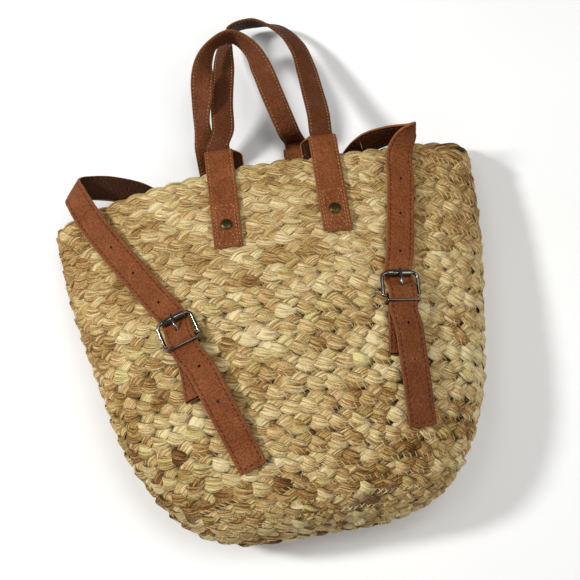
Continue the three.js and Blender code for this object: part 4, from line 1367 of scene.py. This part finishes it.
def build_buckle(side, buckle, shift):
    def metal(name, *shapes):
        node = f"{name}_{side}"
        points, faces = joined(shapes)
        add_piece(node + "_metal", (buckle.place(points), faces), GUNMETAL, "gunmetal", [node])

    half = FRAME_INNER_WIDTH / 2 + BAR / 2
    outline = rounded_rectangle(half, 0, FRAME_LENGTH, HINGE_CORNER - BAR / 2, FRAME_CORNER - BAR / 2)
    metal("buckle_frame", loft(wire_loop(outline, BAR / 2) + FRAME_HEIGHT * UP, closed=True))
    roller = sleeve_profile(ROLLER_LENGTH, ROLLER_BORE, ROLLER_RADIUS, ROLLER_ROUNDING)
    metal("buckle_roller", loft(lathe_x(roller, [0, FRAME_LENGTH, FRAME_HEIGHT]), closed=True))
    eye = sleeve_profile(PRONG_WIDTH, ROLLER_BORE, PRONG_EYE, EYE_ROUNDING)
    metal("buckle_prong", loft(lathe_x(eye, [0, 0, FRAME_HEIGHT]), closed=True), loft(prong_rings()))
    keeper_half = KEEPER_INNER_WIDTH / 2 + KEEPER_WIRE / 2
    corner = KEEPER_CORNER - KEEPER_WIRE / 2
    low = KEEPER_BOTTOM + KEEPER_WIRE / 2
    high = KEEPER_TOP - KEEPER_WIRE / 2
    loop = wire_loop(rounded_rectangle(keeper_half, low, high, corner, corner), KEEPER_WIRE / 2, 10)
    standing = np.stack([loop[..., 0], KEEPER_ALONG - loop[..., 2], loop[..., 1]], axis=-1)
    metal("keeper", loft(standing, closed=True))
    strip = buckle_tab_strip(buckle, shift)
    tab = add_leather(f"buckle_tab_{side}", strip)
    slot_centre = buckle.place((0, PRONG_EYE / 2, FRAME_HEIGHT))
    slot_sizes = (PRONG_WIDTH + 2 * PRONG_SLOT_GAP, 3 * PRONG_EYE, 3 * PRONG_EYE)
    cut(tab, [box_shape(slot_centre, (buckle.across, buckle.along, buckle.up), slot_sizes)])
    sewn = edge_stitches(strip, faces=(True,), seam=BOLD_SEAM) + end_stitches(strip)
    add_stitches(f"buckle_tab_{side}", sewn, DARK_STITCH)


def strap_path(strap, buckle):
    """Rows of centre and across along a strap, and the places of its holes."""
    def on_wall(rows, following):
        path = []
        for i, (x, y, gap) in enumerate(rows):
            point, normal = wall_at(x, y, True)
            before = rows[max(i - 1, 0)]
            after = rows[i + 1] if i + 1 < len(rows) else following
            heading = np.array([after[0] - before[0], after[1] - before[1], 0])
            centre = point + normal * (gap + STRAP_RISE + STRAP_THICK / 2)
            path.append((centre, unit(np.cross(heading, normal)), normal))
        return path

    lower = on_wall(strap["below"], strap["hinge"])
    upper = on_wall(strap["above"], strap["over"][0])
    holes = [(row[0], row[2]) for row in lower[1:] + upper]
    path = [row[:2] for row in lower]
    path += [(buckle.place((0, along, height)), buckle.across) for along, height in THROUGH_BUCKLE]
    path += [row[:2] for row in upper]
    path += free_path(strap["over"])
    for x, y, turn in strap["anchor"]:
        point, normal = wall_at(x, y, False)
        path.append((point - normal * (WALL + 3 * GAP + STRAP_THICK / 2), direction(turn, 0)))
    return path, holes


def prong_slot(buckle):
    """The hole that the prong makes in the strap."""
    line = np.array(PRONG_LINE, float)
    half = PRONG_HALF + PRONG_SLOT_GAP
    wide = PRONG_WIDTH / 2 + PRONG_SLOT_GAP
    corners = ((-wide, -half), (wide, -half), (wide, half), (-wide, half))
    rings = []
    for point, up in zip(line, square_to(line)):
        rings.append(buckle.place([(x, *(point + height * up)) for x, height in corners]))
    return loft(np.array(rings))


def build_straps():
    for side, strap in STRAPS.items():
        name = f"shoulder_strap_{side}"
        buckle = BuckleFrame(strap["hinge"], strap["turn"])
        build_buckle(side, buckle, strap["tab_shift"])
        path, holes = strap_path(strap, buckle)
        centres, across = zip(*path)
        strip = Strip(centres, across, STRAP_WIDTH, STRAP_THICK, inset=STRAP_STITCH_INSET)
        piece = add_leather(name, strip)
        reach = STRAP_HOLE_REACH
        rods = [rod_shape(c - reach * n, c + reach * n, STRAP_HOLE_RADIUS) for c, n in holes]
        cut(piece, rods + [prong_slot(buckle)])
        add_stitches(name, edge_stitches(strip, seam=BOLD_SEAM) + end_stitches(strip), DARK_STITCH)


# Stage

def build_stage():
    corners = FLOOR_HALF * np.array([(-1, -1, 0), (1, -1, 0), (1, 1, 0), (-1, 1, 0)], float)
    floor = make_object("floor", corners, [[0, 1, 2, 3]], PALE_FLOOR)


def aim(thing, start, target, up):
    ahead = (Vector(target) - Vector(start)).normalized()
    right = ahead.cross(Vector(up)).normalized()
    top = right.cross(ahead)
    turn = Matrix((right, top, -ahead)).transposed().to_4x4()
    thing.matrix_world = Matrix.Translation(Vector(start) * MM) @ turn


def add_light(name, start, target, size, power):
    light = bpy.data.lights.new(name, "AREA")
    light.shape = "DISK"
    light.size = size
    light.energy = power
    lamp = bpy.data.objects.new(name, light)
    bpy.context.scene.collection.objects.link(lamp)
    aim(lamp, start, target, LIGHT_UP)


def build_light_and_camera():
    scene = bpy.context.scene
    scene.view_settings.view_transform = "Standard"
    world = bpy.data.worlds.new("studio")
    world.use_nodes = True
    background = world.node_tree.nodes["Background"]
    background.inputs["Color"].default_value = (1, 1, 1, 1)
    background.inputs["Strength"].default_value = SKY_STRENGTH
    scene.world = world
    for name, light in LIGHTS.items():
        add_light(name, *light)
    camera_data = bpy.data.cameras.new("camera")
    camera_data.lens = LENS
    camera = bpy.data.objects.new("camera", camera_data)
    scene.collection.objects.link(camera)
    aim(camera, CAMERA, TARGET, CAMERA_UP)
    scene.camera = camera


build_light_and_camera()
build_stage()
tree = build_plaits()
threads = [seam_thread(tree, row) for row in range(1, ROWS)]
threads += [seam_thread(tree, row, 1) for row in range(CROSSED_FROM, ROWS)]
add_piece("basket_seam_thread", joined(threads), THREAD, "plait")
add_piece("basket_loose_fibres", loose_fibres(tree), THREAD, "plait")
tab_frames = {name: TabFrame(**tab) for name, tab in TABS.items()}
build_tabs(tab_frames)
build_handles(tab_frames)
build_straps()
